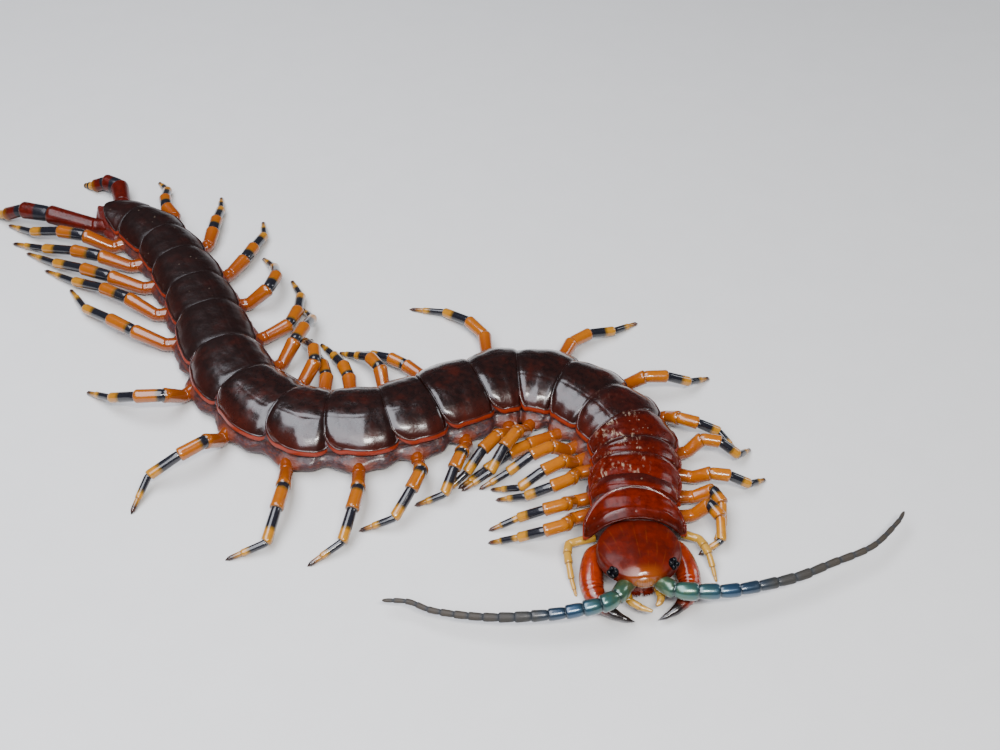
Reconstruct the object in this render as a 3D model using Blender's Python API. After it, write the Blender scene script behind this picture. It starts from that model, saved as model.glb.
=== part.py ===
"""A giant centipede at rest, life size.

The plated body lies in a flat S in seven lengths, with the head, a pair of
feelers, two poison claws and twenty-one pairs of jointed legs. Metres, +Z up,
the floor at Z = 0. Sizes below are in millimetres and degrees.
"""

import math

import bmesh
import bpy
from mathutils import Matrix, Vector

MM = 0.001
GAP = 0.3
WELD = 1e-7

# The middle of the whole animal's plan, measured from the pose's own origin
PLAN_CENTRE = (-20.02, 0.08)

# The back plates from the neck to the tail: visible length, and the bearing of the head's end
PLATE_LENGTHS = (
    6.2, 2.0, 5.9, 3.6, 6.1, 6.8, 8.2,
    8.4, 7.6, 9.7, 8.2, 10.2, 8.4, 11.0,
    10.6, 11.6, 9.4, 9.6, 8.4, 9.6, 6.4,
)
PLATE_BEARINGS = (
    -92, -95, -95, -91, -80, -56, -40,
    -15, 14, 26, 26, 8, -14, -41,
    -60, -68, -66, -62, -58, -47, -24,
)
PLATES = len(PLATE_LENGTHS)
PLATES_PER_LENGTH = 3
NECK = Vector((22.2, -43.4, 0.0))
LEAD_IN = 8.0

# Widths across the plates' margins, as shares of the widest, by plate
WIDEST = 15.6
WIDTH_BY_PLATE = ((0, 1.05), (1.5, 0.98), (6, 0.95), (9, 1.0), (12, 1.0), (14.5, 0.92), (17, 0.81), (19, 0.74), (21, 0.6))

# The cross-section at the widest plate, one side: share of the half width, and height
BELLY = 0.9
PLATE_ARCH = ((0.0, 9.2), (0.42, 8.75), (0.8, 7.3), (1.0, 5.25))
FLANK = ((0.96, 4.6), (0.93, 3.8), (1.12, 2.1), (0.9, 1.05))
PLATE_STATIONS = ((0.0, -0.42, 0.9), (0.15, 0.0, 0.97), (0.55, 0.1, 1.0), (0.93, 0.25, 0.96))
BELLY_PINCH = 0.5
TAIL_CLOSE = ((0.05, 0.8), (0.1, 0.45))

# Legs: where each pair roots, and its joints' shares of the leg's length
ROOT_ALONG_PLATE = {
    "right": ((1, 0.0), (2, -0.17), (3, 0.15), (4, 0.46), (5, 0.45), (6, 0.68), (7, 0.45), (8, 0.62), (9, 0.76),
              (11, 0.8), (12, 0.6), (15, 0.6), (16, 0.78), (20, 0.8), (21, 0.7)),
    "left": ((1, 0.26), (2, 0.37), (3, 0.55), (4, 0.5), (6, 0.3), (7, 0.38), (9, 0.5), (10, 0.7), (14, 0.6),
             (16, 0.38), (18, 0.38), (20, 0.7), (21, 0.7)),
}
ROOT_INSIDE = 0.8
ROOT_OUTSIDE = 1.19
ROOT_HEIGHT = 2.2
COXA_RADIUS = 1.4
COXA_TURN_MOST = 20.0
LAST_ROOT_INSIDE = 0.42
LAST_COXA_REACH = 3.4
LAST_COXA_TURN_MOST = 75.0
TROCHANTER = 0.9
LEG_LENGTHS = {
    "right": ((1, 10.0), (2, 18.2), (8, 19.5), (10, 18.5), (11, 21.5), (13, 24.0), (15, 24.5), (16, 30.5), (18, 31.0), (20, 27.5)),
    "left": ((1, 8.5), (2, 15.0), (5, 15.5), (8, 20.5), (9, 24.5), (10, 17.0), (13, 18.0), (15, 22.0), (17, 22.5),
             (19, 19.0), (20, 16.5)),
}
LAST_LEG_ARTICLES = (9.6, 5.8, 5.0, 3.2, 2.0, 0.8)
LAST_LEG_SHARE = {"right": 1.0, "left": 0.6}
ARTICLE_SWELL_PLACE = 0.86
ROOT_NECK = 0.86
ARTICLE_SHARES = (0.225, 0.21, 0.26, 0.185, 0.085, 0.035)
ARTICLE_RADII = ((1.12, 1.34), (1.08, 1.2), (0.93, 0.95), (0.68, 0.6), (0.5, 0.42))
CLAW_RADII = (0.3, 0.16)
FIRST_LEG_THICKNESS = 0.58
LEG_THICKNESS_FRONT = 0.9
LEG_THICKNESS_GROWTH = 0.17
LAST_LEG_THICKNESS = 1.42
TIP_HEIGHT = 0.1
TIBIA_DROP_SHARE = 0.5
FEMUR_LIFT_SHARE = -0.1
FEMUR_TURN_SHARE = 0.7

# The pose of each leg, from the neck to the tail, in degrees: how far the thigh sweeps ahead of
# square to the body, how far the knee and then the ankle turn further ahead, and the thigh's lift
LEG_POSES = {
    "right": (
        (85, 17, 5, 4), (75, -78, -1, 35), (67, -64, 13, 39), (78, -71, -14, 35), (37, -19, -42, 40),
        (-8, -3, -5, 40), (-19, 5, 3, 4), (-17, -3, -32, 39), (-58, 0, -13, 32), (-40, -9, -60, 34),
        (-13, -42, -49, 36), (-3, -18, -43, 22), (19, -15, -60, 20), (16, -38, 46, 40), (25, -76, -12, 40),
        (-42, -19, -18, 12), (-54, -2, -5, 13), (-40, -20, -5, 17), (-43, -15, -3, 18), (-54, -14, -15, 25),
        (-78, -13, -11, 15),
    ),
    "left": (
        (67, 4, 4, 8), (-16, 100, 70, 42), (-8, 97, 19, 26), (11, -10, -43, 31), (-13, 39, -70, 42),
        (85, -53, 44, 36), (59, -25, -25, 40), (9, 41, -13, 4), (10, -44, -22, 4), (-22, -10, -12, 4),
        (11, -28, -10, 39), (-3, -19, -6, 4), (-17, -25, 13, 4), (-5, -66, 5, 40), (-24, -28, -35, 40),
        (-14, -56, -21, 7), (8, -88, -16, 37), (-33, -15, -24, 6), (-54, -3, -10, 6), (-83, 34, -29, 6),
        (-35, -66, 26, 4),
    ),
}

# The head, from its own middle
HEAD_FROM_NECK = (0.2, -5.0)
HEAD_BEARING = -85.0
HEAD_HALF_WIDTH = 6.9
HEAD_HALF_LENGTH = 6.4
HEAD_RIM_HEIGHT = 5.4
HEAD_DOME = 2.9
HEAD_RIM_DEPTH = 0.6
HEAD_TAPER = 0.28
HEAD_DOME_SIDES = 20
HEAD_DOME_RINGS = 12
DOME_FLATNESS = 0.75
CUTTER_SIZE = 20.0
CAPSULE_HALF_WIDTH = 3.9
CAPSULE_HALF_LENGTH = 5.2
CAPSULE_HALF_HEIGHT = 2.3
CAPSULE_HEIGHT = 5.2
FACE_RADIUS = 1.75
FACE_FORWARD = 4.8
FACE_HEIGHT = 5.3
SOCKET_RADIUS = 1.25
SOCKET_SPREAD = 50.0
SOCKET_ASIDE = 1.2
SOCKET_FORWARD = 4.4
SOCKET_REACH = 2.7
SOCKET_HEIGHT = 5.0
EYE_ASIDE = 4.65
EYE_FORWARD = 3.8
EYE_TILT = 42.0
EYE_FACET_DEPTH = 0.35
EYE_PAD_RADIUS = 0.95
EYE_PAD_THICKNESS = 0.3
EYE_FACET_SHARE = 1.5
OCELLI = 4
OCELLUS_RADIUS = 0.42
OCELLUS_RING = 0.5

# Feelers: their routes from the head, as far aside, ahead and high, and their articles
FEELER_ROUTES = {
    "right": ((4.4, 7.9, 5.3), (6.6, 9.3, 5.5), (9.8, 9.9, 5.2), (15.9, 10.2, 4.6), (25.0, 9.4, 4.0),
              (33.3, 7.0, 3.4), (37.5, 4.5, 3.1), (41.7, 3.6, 2.8)),
    "left": ((4.2, 7.3, 5.3), (6.2, 8.1, 5.5), (9.2, 8.3, 5.3), (14.8, 8.1, 4.9), (24.3, 6.1, 4.4),
             (31.3, 3.3, 4.0), (38.8, 0.1, 3.6), (44.3, -4.7, 3.3), (46.4, -7.3, 3.2)),
}
FEELER_ARTICLES = 17
FEELER_FIRST_LENGTH = 3.1
FEELER_LAST_LENGTH = 1.9
FEELER_RADII = ((0, 1.2), (2, 1.2), (5, 0.95), (9, 0.66), (13, 0.5), (17, 0.32))
FEELER_WAIST = 0.86
FEELER_SWELL_PLACE = 0.8
FEELER_LEAD_IN = 3.0
FEELER_LINE_STEPS = 20
FEELER_TIP_SHARE = 0.5

# Poison claws and the plate that carries them
CARRIER_BACK = 4.0
CARRIER_FRONT = 4.4
CARRIER_HALF_WIDTH = (4.8, 2.6)
CARRIER_HEIGHTS = (0.9, 2.45)
CARRIER_BEVEL = 0.3
TOOTH_PLATE = (1.6, 1.3, 0.8)
TOOTH_PLATE_ASIDE = 1.05
TOOTH_PLATE_SUNK = 0.4
CLAW_ROOT_ASIDE = 4.5
CLAW_ROOT_FORWARD = -2.8
CLAW_ROOT_REACH = 1.9
CLAW_ROOT_TURN = 50.0
CLAW_ROOT_RADIUS = 1.35
CLAW_HEIGHT = 2.2
CLAW_ROUTE = ((6.8, 0.0, 2.25), (7.8, 2.2, 2.25), (7.8, 4.6, 2.2), (6.9, 6.8, 2.0), (5.2, 8.5, 1.7), (3.4, 9.5, 1.35),
              (1.9, 10.0, 1.0))
CLAW_ROUTE_RADII = (1.5, 1.9, 1.95, 1.8, 1.4, 0.9, 0.5, 0.1)

# Palps beside the mouth
PALP_ROOT = (2.0, 3.0, 3.3)
PALP_ROUTES = {
    "right": ((2.5, 5.6, 2.75), (2.4, 7.2, 2.75), (0.8, 8.6, 2.75), (-1.0, 9.5, 2.7)),
    "left": ((2.5, 5.6, 2.75), (2.8, 6.8, 2.75), (2.4, 7.8, 2.7), (1.7, 8.4, 2.6)),
}
PALP_RADII = (0.5, 0.62, 0.64, 0.58, 0.22)
PALP_STUB_SHARE = 1.15
PALP_STUB_REACH = 0.45

SIGN = {"right": 1, "left": -1}

COLOURS = {
    "plate_red": ((0.33, 0.03, 0.012), 0.3),
    "plate_brown": ((0.07, 0.012, 0.008), 0.28),
    "tail_red": ((0.22, 0.022, 0.01), 0.3),
    "head_shell": ((0.36, 0.04, 0.012), 0.28),
    "claw_shell": ((0.5, 0.085, 0.015), 0.25),
    "feeler": ((0.06, 0.16, 0.17), 0.35),
    "leg": ((0.62, 0.27, 0.04), 0.35),
    "leg_pale": ((0.65, 0.42, 0.14), 0.4),
    "eye": ((0.006, 0.006, 0.008), 0.1),
}


def interpolate(table, where):
    """The value at a place in a table of (place, value) pairs, eased between them."""
    for (a, low), (b, high) in zip(table, table[1:]):
        if where <= b:
            t = max(0.0, (where - a) / (b - a))
            t = t * t * (3 - 2 * t)
            return low + (high - low) * t
    return table[-1][1]


def spline(points, where):
    """A point of the smooth curve through the points, where 1.0 is the second of them."""
    i = min(max(int(math.floor(where)), 1), len(points) - 3)
    t = where - i
    a, b, c, d = points[i - 1:i + 3]
    return 0.5 * ((2 * b) + (c - a) * t + (2 * a - 5 * b + 4 * c - d) * t * t + (3 * b - a - 3 * c + d) * t ** 3)


def bearing_vector(degrees, lift=0.0):
    """A unit vector along a bearing in the plan, raised by lift degrees."""
    turn, rise = math.radians(degrees), math.radians(lift)
    return Vector((math.cos(turn) * math.cos(rise), math.sin(turn) * math.cos(rise), math.sin(rise)))


def joint_points():
    """The plates' ends along the middle of the back, with one more point at each end for the curve."""
    points = [NECK + bearing_vector(PLATE_BEARINGS[0]) * LEAD_IN, NECK.copy()]
    for length, bearing in zip(PLATE_LENGTHS, PLATE_BEARINGS):
        points.append(points[-1] - bearing_vector(bearing) * length)
    points.append(points[-1] - bearing_vector(PLATE_BEARINGS[-1]) * LEAD_IN)
    return points


JOINTS = joint_points()


def axis_point(along):
    """The point of the body's axis at a distance counted in plates, from 0 at the neck."""
    return spline(JOINTS, along + 1.0)


def axis_frame(along):
    """The axis point with the unit vectors ahead and to the left."""
    step = 0.02
    ahead = (axis_point(along - step) - axis_point(along + step)).normalized()
    left = Vector((-ahead.y, ahead.x, 0.0))
    return axis_point(along), ahead, left


def half_width(along):
    return WIDEST / 2 * interpolate(WIDTH_BY_PLATE, along)


def size_share(along):
    return interpolate(WIDTH_BY_PLATE, along)


def metres(point):
    """A point of the pose, in metres from the part's origin."""
    return Vector((point[0] - PLAN_CENTRE[0], point[1] - PLAN_CENTRE[1], point[2])) * MM


def material(name):
    """A plain surface in one of the animal's colours."""
    found = bpy.data.materials.get(name)
    if found:
        return found
    colour, roughness = COLOURS[name]
    made = bpy.data.materials.new(name)
    made.use_nodes = True
    shader = made.node_tree.nodes["Principled BSDF"]
    shader.inputs["Base Color"].default_value = (*colour, 1.0)
    shader.inputs["Roughness"].default_value = roughness
    shader.inputs["Metallic"].default_value = 0.0
    return made


def finish_mesh(bm, name, collection, surface):
    """Makes the object from a bmesh whose points are in metres."""
    bm.normal_update()
    bmesh.ops.recalc_face_normals(bm, faces=bm.faces)
    mesh = bpy.data.meshes.new(name)
    bm.to_mesh(mesh)
    bm.free()
    made = bpy.data.objects.new(name, mesh)
    mesh.materials.append(material(surface))
    mesh.shade_smooth()
    mesh.set_sharp_from_angle(angle=math.radians(50))
    collection.objects.link(made)
    return made


def loft(name, rings, collection, surface):
    """A closed body through rings that have the same number of points, with flat ends."""
    bm = bmesh.new()
    rows = [[bm.verts.new(metres(p)) for p in ring] for ring in rings]
    for near, far in zip(rows, rows[1:]):
        for i in range(len(near)):
            j = (i + 1) % len(near)
            bm.faces.new((near[i], near[j], far[j], far[i]))
    bm.faces.new(rows[0])
    bm.faces.new(list(reversed(rows[-1])))
    return finish_mesh(bm, name, collection, surface)


def tube(name, points, radii, collection, surface, resolution=1, floor=False):
    """A tube along straight stretches with its own radius at each point, cut flat by the floor if asked."""
    curve = bpy.data.curves.new(name + "_line", "CURVE")
    curve.dimensions = "3D"
    curve.bevel_depth = MM
    curve.bevel_resolution = resolution
    curve.use_fill_caps = True
    line = curve.splines.new("POLY")
    line.points.add(len(points) - 1)
    for slot, point, radius in zip(line.points, points, radii):
        slot.co = (*metres(point), 1.0)
        slot.radius = radius
    guide = bpy.data.objects.new(name + "_line", curve)
    collection.objects.link(guide)
    bpy.context.view_layer.update()
    evaluated = guide.evaluated_get(bpy.context.evaluated_depsgraph_get())
    mesh = bpy.data.meshes.new_from_object(evaluated)
    bm = bmesh.new()
    bm.from_mesh(mesh)
    bpy.data.objects.remove(guide)
    bpy.data.meshes.remove(mesh)
    bmesh.ops.remove_doubles(bm, verts=bm.verts, dist=WELD)
    if floor:
        cut_at_floor(bm)
    return finish_mesh(bm, name, collection, surface)


def cut_at_floor(bm):
    """Cuts off what lies below the floor and closes the cut with one flat face."""
    parts = list(bm.verts) + list(bm.edges) + list(bm.faces)
    cut = bmesh.ops.bisect_plane(bm, geom=parts, dist=WELD, plane_co=(0, 0, 0), plane_no=(0, 0, 1), clear_inner=True)
    rim = [g for g in cut["geom_cut"] if isinstance(g, bmesh.types.BMEdge)]
    if rim:
        bmesh.ops.contextual_create(bm, geom=rim)


def combine(target, tools, operation):
    """Unites a solid with some others, or cuts them out of it, and removes them."""
    group = bpy.data.collections.new(target.name + "_tools")
    bpy.context.scene.collection.children.link(group)
    for tool in tools:
        for home in list(tool.users_collection):
            home.objects.unlink(tool)
        group.objects.link(tool)
    change = target.modifiers.new("join", "BOOLEAN")
    change.operation = operation
    change.operand_type = "COLLECTION"
    change.collection = group
    change.solver = "EXACT"
    bpy.context.view_layer.update()
    evaluated = target.evaluated_get(bpy.context.evaluated_depsgraph_get())
    mesh = bpy.data.meshes.new_from_object(evaluated)
    target.modifiers.remove(change)
    old = target.data
    mesh.name = old.name
    target.data = mesh
    bpy.data.meshes.remove(old)
    for tool in list(group.objects):
        bpy.data.objects.remove(tool)
    bpy.data.collections.remove(group)
    keep_largest(target)


def keep_largest(target):
    """Welds the joined mesh and keeps its largest closed surface."""
    bm = bmesh.new()
    bm.from_mesh(target.data)
    bmesh.ops.remove_doubles(bm, verts=bm.verts, dist=WELD)
    left, islands = set(bm.verts), []
    while left:
        stack, island = [left.pop()], set()
        while stack:
            vert = stack.pop()
            island.add(vert)
            for edge in vert.link_edges:
                other = edge.other_vert(vert)
                if other in left:
                    left.remove(other)
                    stack.append(other)
        islands.append(island)
    largest = max(islands, key=len)
    bmesh.ops.delete(bm, geom=[v for v in bm.verts if v not in largest], context="VERTS")
    bm.to_mesh(target.data)
    bm.free()


def primitive(name, kind, place, collection, surface, **sizes):
    """A bmesh primitive, its size in millimetres, moved by a matrix in the pose's millimetres."""
    bm = bmesh.new()
    getattr(bmesh.ops, kind)(bm, **sizes)
    for vert in bm.verts:
        vert.co = metres(place @ vert.co)
    return finish_mesh(bm, name, collection, surface)


def pointing(at, direction, roll_up=Vector((0, 0, 1))):
    """A matrix that stands at a point with its Z axis along a direction."""
    z = direction.normalized()
    x = roll_up.cross(z).normalized()
    y = z.cross(x)
    turn = Matrix((x, y, z)).transposed().to_4x4()
    return Matrix.Translation(at) @ turn


def rod(name, start, end, radius, collection, surface, sides=8):
    """A plain round rod with flat ends."""
    middle = (start + end) / 2
    return primitive(name, "create_cone", pointing(middle, end - start), collection, surface, cap_ends=True,
                     segments=sides, radius1=radius, radius2=radius, depth=(end - start).length)


# The body

def section(along, drop, spread):
    """The body's cross-section: the plate's arch is lowered by drop, and the whole narrowed to spread."""
    middle, _, left = axis_frame(along)
    half = half_width(along) * spread
    share = size_share(along)

    def at(aside, height):
        return middle + left * aside * half + Vector((0, 0, BELLY + (height - BELLY) * share))

    side = [(aside, height + drop) for aside, height in PLATE_ARCH] + list(FLANK)
    ring = [at(a, z) for a, z in side]
    ring.append(at(0.0, BELLY - min(drop, 0.0) * BELLY_PINCH))
    ring += [at(-a, z) for a, z in reversed(side[1:])]
    return ring


def root_place(pair, side):
    """Where a leg roots, counted in plates from the neck."""
    return pair - 1 + interpolate(ROOT_ALONG_PLATE[side], pair)


def coxa_line(pair, side):
    """Where a leg's stub starts inside the body and where its face stands, with the stub's bearing."""
    along = root_place(pair, side)
    middle, ahead, left = axis_frame(along)
    outward = left if side == "left" else -left
    last = pair == PLATES
    most = LAST_COXA_TURN_MOST if last else COXA_TURN_MOST
    turn = math.radians(max(-most, min(most, LEG_POSES[side][pair - 1][0])))
    direction = outward * math.cos(turn) + ahead * math.sin(turn)
    half = half_width(along)
    height = Vector((0, 0, BELLY + (ROOT_HEIGHT - BELLY) * (1.0 if last else size_share(along))))
    if last:
        start = middle + outward * half * LAST_ROOT_INSIDE + height
        return start, start + direction * LAST_COXA_REACH, direction
    face = middle + outward * half * ROOT_OUTSIDE + height
    return face - direction * half * (ROOT_OUTSIDE - ROOT_INSIDE) / math.cos(turn), face, direction


def leg_thickness(pair):
    if pair == 1:
        return FIRST_LEG_THICKNESS
    if pair == PLATES:
        return LAST_LEG_THICKNESS
    return LEG_THICKNESS_FRONT + LEG_THICKNESS_GROWTH * pair / PLATES


def build_body(collection):
    """The plated body in lengths of three plates, each with the stubs of its legs."""
    for first in range(0, PLATES, PLATES_PER_LENGTH):
        last = first + PLATES_PER_LENGTH
        rings = []
        for plate in range(first, last):
            length = PLATE_LENGTHS[plate]
            for share, drop, spread in PLATE_STATIONS:
                start = GAP / 2 / length if share == 0.0 and plate == first else 0.0
                rings.append(section(plate + share + start, drop, spread))
        if last < PLATES:
            rings.append(section(last - GAP / 2 / PLATE_LENGTHS[last - 1], *PLATE_STATIONS[0][1:]))
        else:
            rings.append(section(last, *PLATE_STATIONS[0][1:]))
            rings += [shrunken_section(last + beyond, scale) for beyond, scale in TAIL_CLOSE]
        surface = "plate_red" if last <= 6 else "tail_red" if last == PLATES else "plate_brown"
        name = f"body_{first + 1:02d}_{last:02d}"
        node = loft(name, rings, collection, surface)
        stubs = []
        for pair in range(first + 1, last + 1):
            for side in SIGN:
                start, end, _ = coxa_line(pair, side)
                radius = COXA_RADIUS * leg_thickness(pair)
                stubs.append(rod(f"stub_{pair}_{side}", start, end, radius, collection, surface))
        combine(node, stubs, "UNION")


def shrunken_section(along, scale):
    """A tail section, drawn in towards its own middle."""
    ring = section(along, PLATE_STATIONS[0][1], PLATE_STATIONS[0][2])
    middle = sum(ring, Vector()) / len(ring)
    return [middle + (p - middle) * scale for p in ring]


# The legs

def leg_articles(pair, side):
    """The lengths of a leg's articles, from the thigh to the claw."""
    if pair == PLATES:
        return tuple(length * LAST_LEG_SHARE[side] for length in LAST_LEG_ARTICLES)
    return tuple(interpolate(LEG_LENGTHS[side], pair) * share for share in ARTICLE_SHARES)


def leg_joints(pair, side):
    """The points of a leg: its root, the short trochanter's end, and the end of each article."""
    _, face, coxa_direction = coxa_line(pair, side)
    _, ahead, left = axis_frame(root_place(pair, side))
    outward = left if side == "left" else -left
    root = face + coxa_direction * GAP
    points = [root, root + coxa_direction * TROCHANTER]
    sweep, knee, ankle, lift = LEG_POSES[side][pair - 1]
    turns = (sweep, sweep + knee * FEMUR_TURN_SHARE, sweep + knee) + (sweep + knee + ankle,) * 3
    lengths = leg_articles(pair, side)
    for i, (length, degrees) in enumerate(zip(lengths, turns)):
        turn = math.radians(degrees)
        flat = outward * math.cos(turn) + ahead * math.sin(turn)
        height = points[-1].z
        if i == 0:
            fall = length * math.sin(math.radians(lift))
        elif i == 1:
            fall = length * math.sin(math.radians(lift * FEMUR_LIFT_SHARE))
        elif i == 2:
            fall = -(height - TIP_HEIGHT) * TIBIA_DROP_SHARE
        else:
            fall = -(height - TIP_HEIGHT) * length / sum(lengths[i:])
        run = math.sqrt(max(length * length - fall * fall, 0.01))
        points.append(points[-1] + flat * run + Vector((0, 0, fall)))
    return points


def build_leg(pair, side, collection):
    """One leg: each article swells towards its far end and is narrower where the next begins."""
    points = leg_joints(pair, side)
    thickness = leg_thickness(pair)
    stations = [points[0]]
    radii = [COXA_RADIUS * ROOT_NECK * thickness]
    for (near, far), (start, end) in zip(zip(points[1:], points[2:]), ARTICLE_RADII):
        stations += [near, near.lerp(far, ARTICLE_SWELL_PLACE)]
        radii += [start * thickness, end * thickness]
    stations += [points[-2], points[-1]]
    radii += [CLAW_RADII[0], CLAW_RADII[1]]
    surface = "tail_red" if pair == PLATES else "leg_pale" if pair == 1 else "leg"
    tube(f"leg_{pair:02d}_{side}", stations, radii, collection, surface, floor=True)


# The head

def head_frame():
    """The matrix of the head: X to its right, Y ahead, Z up, from the floor below its middle."""
    ahead = bearing_vector(HEAD_BEARING)
    right = Vector((ahead.y, -ahead.x, 0.0))
    middle = NECK + Vector((*HEAD_FROM_NECK, 0.0))
    turn = Matrix((right, ahead, Vector((0, 0, 1)))).transposed().to_4x4()
    return Matrix.Translation(middle) @ turn


def in_head(side, aside, forward, height):
    """A point of the head, aside to one side, in the pose's millimetres."""
    return head_frame() @ Vector((SIGN[side] * aside, forward, height))


def build_head(collection):
    """The round head plate over a narrower capsule, with the face and the feelers' sockets."""
    bm = bmesh.new()
    bmesh.ops.create_uvsphere(bm, u_segments=HEAD_DOME_SIDES, v_segments=HEAD_DOME_RINGS, radius=1.0)
    place = head_frame()
    for vert in bm.verts:
        x, y, z = vert.co
        x *= 1 - HEAD_TAPER * max(0.0, y) ** 2
        rise = HEAD_DOME * z ** DOME_FLATNESS if z > 0 else HEAD_RIM_DEPTH * z
        vert.co = metres(place @ Vector((x * HEAD_HALF_WIDTH, y * HEAD_HALF_LENGTH, HEAD_RIM_HEIGHT + rise)))
    head = finish_mesh(bm, "head", collection, "head_shell")
    capsule = primitive("capsule", "create_uvsphere", place
                        @ Matrix.Translation((0, 0, CAPSULE_HEIGHT))
                        @ Matrix.Diagonal((CAPSULE_HALF_WIDTH, CAPSULE_HALF_LENGTH, CAPSULE_HALF_HEIGHT, 1.0)),
                        collection, "head_shell", u_segments=12, v_segments=8, radius=1.0)
    face = primitive("face", "create_uvsphere", place @ Matrix.Translation((0, FACE_FORWARD, FACE_HEIGHT)),
                     collection, "head_shell", u_segments=10, v_segments=8, radius=FACE_RADIUS)
    pieces = [capsule, face]
    for side in SIGN:
        start, end, _ = socket_line(side)
        pieces.append(rod("socket_" + side, start, end, SOCKET_RADIUS, collection, "head_shell", sides=10))
        start, end = palp_root(side)
        pieces.append(rod("palp_root_" + side, start, end, PALP_RADII[0] * PALP_STUB_SHARE, collection, "head_shell"))
    combine(head, pieces, "UNION")
    cutters = [neck_cutter(collection)]
    cutters += [facet_cutter(side, collection) for side in SIGN]
    combine(head, cutters, "DIFFERENCE")


def socket_line(side):
    """A feeler's socket: where it starts inside the head, where its face stands, and its direction."""
    spread = math.radians(SOCKET_SPREAD)
    start = in_head(side, SOCKET_ASIDE, SOCKET_FORWARD, SOCKET_HEIGHT)
    direction = head_frame().to_3x3() @ Vector((SIGN[side] * math.sin(spread), math.cos(spread), 0.0))
    return start, start + direction * SOCKET_REACH, direction


def palp_root(side):
    """A palp's stub on the underside of the head."""
    start = in_head(side, *PALP_ROOT)
    end = start.lerp(in_head(side, *PALP_ROUTES[side][0]), PALP_STUB_REACH)
    return start, end


def neck_cutter(collection):
    """Cuts the head off square, a gap ahead of the first plate."""
    size = CUTTER_SIZE
    middle = NECK + bearing_vector(PLATE_BEARINGS[0]) * (GAP - size / 2)
    turn = Matrix.Rotation(math.radians(PLATE_BEARINGS[0]), 4, "Z")
    return primitive("neck_cutter", "create_cube", Matrix.Translation(middle + Vector((0, 0, HEAD_RIM_HEIGHT))) @ turn,
                     collection, "head_shell", size=size)


def eye_place(side):
    """A matrix on the flat facet under the eyes of one side, its Z axis pointing out of the head."""
    lateral = Vector((SIGN[side] * EYE_ASIDE, EYE_FORWARD, 0.0))
    radial = math.hypot(EYE_ASIDE / HEAD_HALF_WIDTH, EYE_FORWARD / HEAD_HALF_LENGTH)
    height = HEAD_RIM_HEIGHT + HEAD_DOME * math.sqrt(max(0.0, 1 - radial ** 2)) ** DOME_FLATNESS
    outward = lateral.normalized() * math.sin(math.radians(EYE_TILT)) + Vector((0, 0, math.cos(math.radians(EYE_TILT))))
    place = head_frame()
    surface = place @ (lateral + Vector((0, 0, height)) - outward * EYE_FACET_DEPTH)
    return pointing(surface, place.to_3x3() @ outward)


def facet_cutter(side, collection):
    """Cuts a flat facet for the eyes."""
    size, radius = CUTTER_SIZE, EYE_PAD_RADIUS * EYE_FACET_SHARE
    place = eye_place(side) @ Matrix.Translation((0, 0, size / 2))
    return primitive("facet_cutter_" + side, "create_cone", place, collection, "head_shell", cap_ends=True,
                     segments=12, radius1=radius, radius2=radius, depth=size)


def build_eyes(side, collection):
    """Four single eyes on a low round pad."""
    place = eye_place(side)
    pad = primitive("eyes_" + side, "create_cone", place @ Matrix.Translation((0, 0, GAP + EYE_PAD_THICKNESS / 2)),
                    collection, "eye", cap_ends=True, segments=12, radius1=EYE_PAD_RADIUS,
                    radius2=EYE_PAD_RADIUS, depth=EYE_PAD_THICKNESS)
    beads = []
    for i in range(OCELLI):
        turn = math.tau * (i + 0.5) / OCELLI
        at = Vector((math.cos(turn) * OCELLUS_RING, math.sin(turn) * OCELLUS_RING, GAP + EYE_PAD_THICKNESS))
        beads.append(primitive(f"ocellus_{i}", "create_icosphere", place @ Matrix.Translation(at), collection,
                               "eye", subdivisions=2, radius=OCELLUS_RADIUS))
    combine(pad, beads, "UNION")


def build_feeler(side, collection):
    """A feeler: a chain of articles that grow thinner, each narrower where it begins."""
    _, face, direction = socket_line(side)
    root = face + direction * GAP
    route = [root - direction * FEELER_LEAD_IN, root]
    route += [in_head(side, *p) for p in FEELER_ROUTES[side]]
    route.append(route[-1] * 2 - route[-2])
    steps = FEELER_LINE_STEPS
    fine = [spline(route, 1 + i / steps) for i in range(steps * (len(route) - 3) + 1)]
    lengths = [FEELER_FIRST_LENGTH + (FEELER_LAST_LENGTH - FEELER_FIRST_LENGTH) * i / (FEELER_ARTICLES - 1)
               for i in range(FEELER_ARTICLES)]
    whole = sum((b - a).length for a, b in zip(fine, fine[1:]))
    stretch = whole / sum(lengths)
    stations, radii, travelled = [], [], 0.0
    for i, length in enumerate(lengths):
        radius = interpolate(FEELER_RADII, i)
        length *= stretch
        stations += [point_along(fine, travelled), point_along(fine, travelled + length * FEELER_SWELL_PLACE)]
        radii += [radius * FEELER_WAIST, radius]
        travelled += length
    stations.append(fine[-1])
    radii.append(FEELER_RADII[-1][1] * FEELER_TIP_SHARE)
    tube("feeler_" + side, stations, radii, collection, "feeler")


def point_along(points, distance):
    """The point at a distance along a line of points."""
    for a, b in zip(points, points[1:]):
        step = (b - a).length
        if distance <= step:
            return a.lerp(b, distance / step)
        distance -= step
    return points[-1]


def claw_root(side):
    """A poison claw's stub on the plate that carries it."""
    turn = math.radians(CLAW_ROOT_TURN)
    start = in_head(side, CLAW_ROOT_ASIDE, CLAW_ROOT_FORWARD, CLAW_HEIGHT)
    direction = head_frame().to_3x3() @ Vector((SIGN[side] * math.cos(turn), math.sin(turn), 0.0))
    return start, start + direction * CLAW_ROOT_REACH, direction


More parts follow.
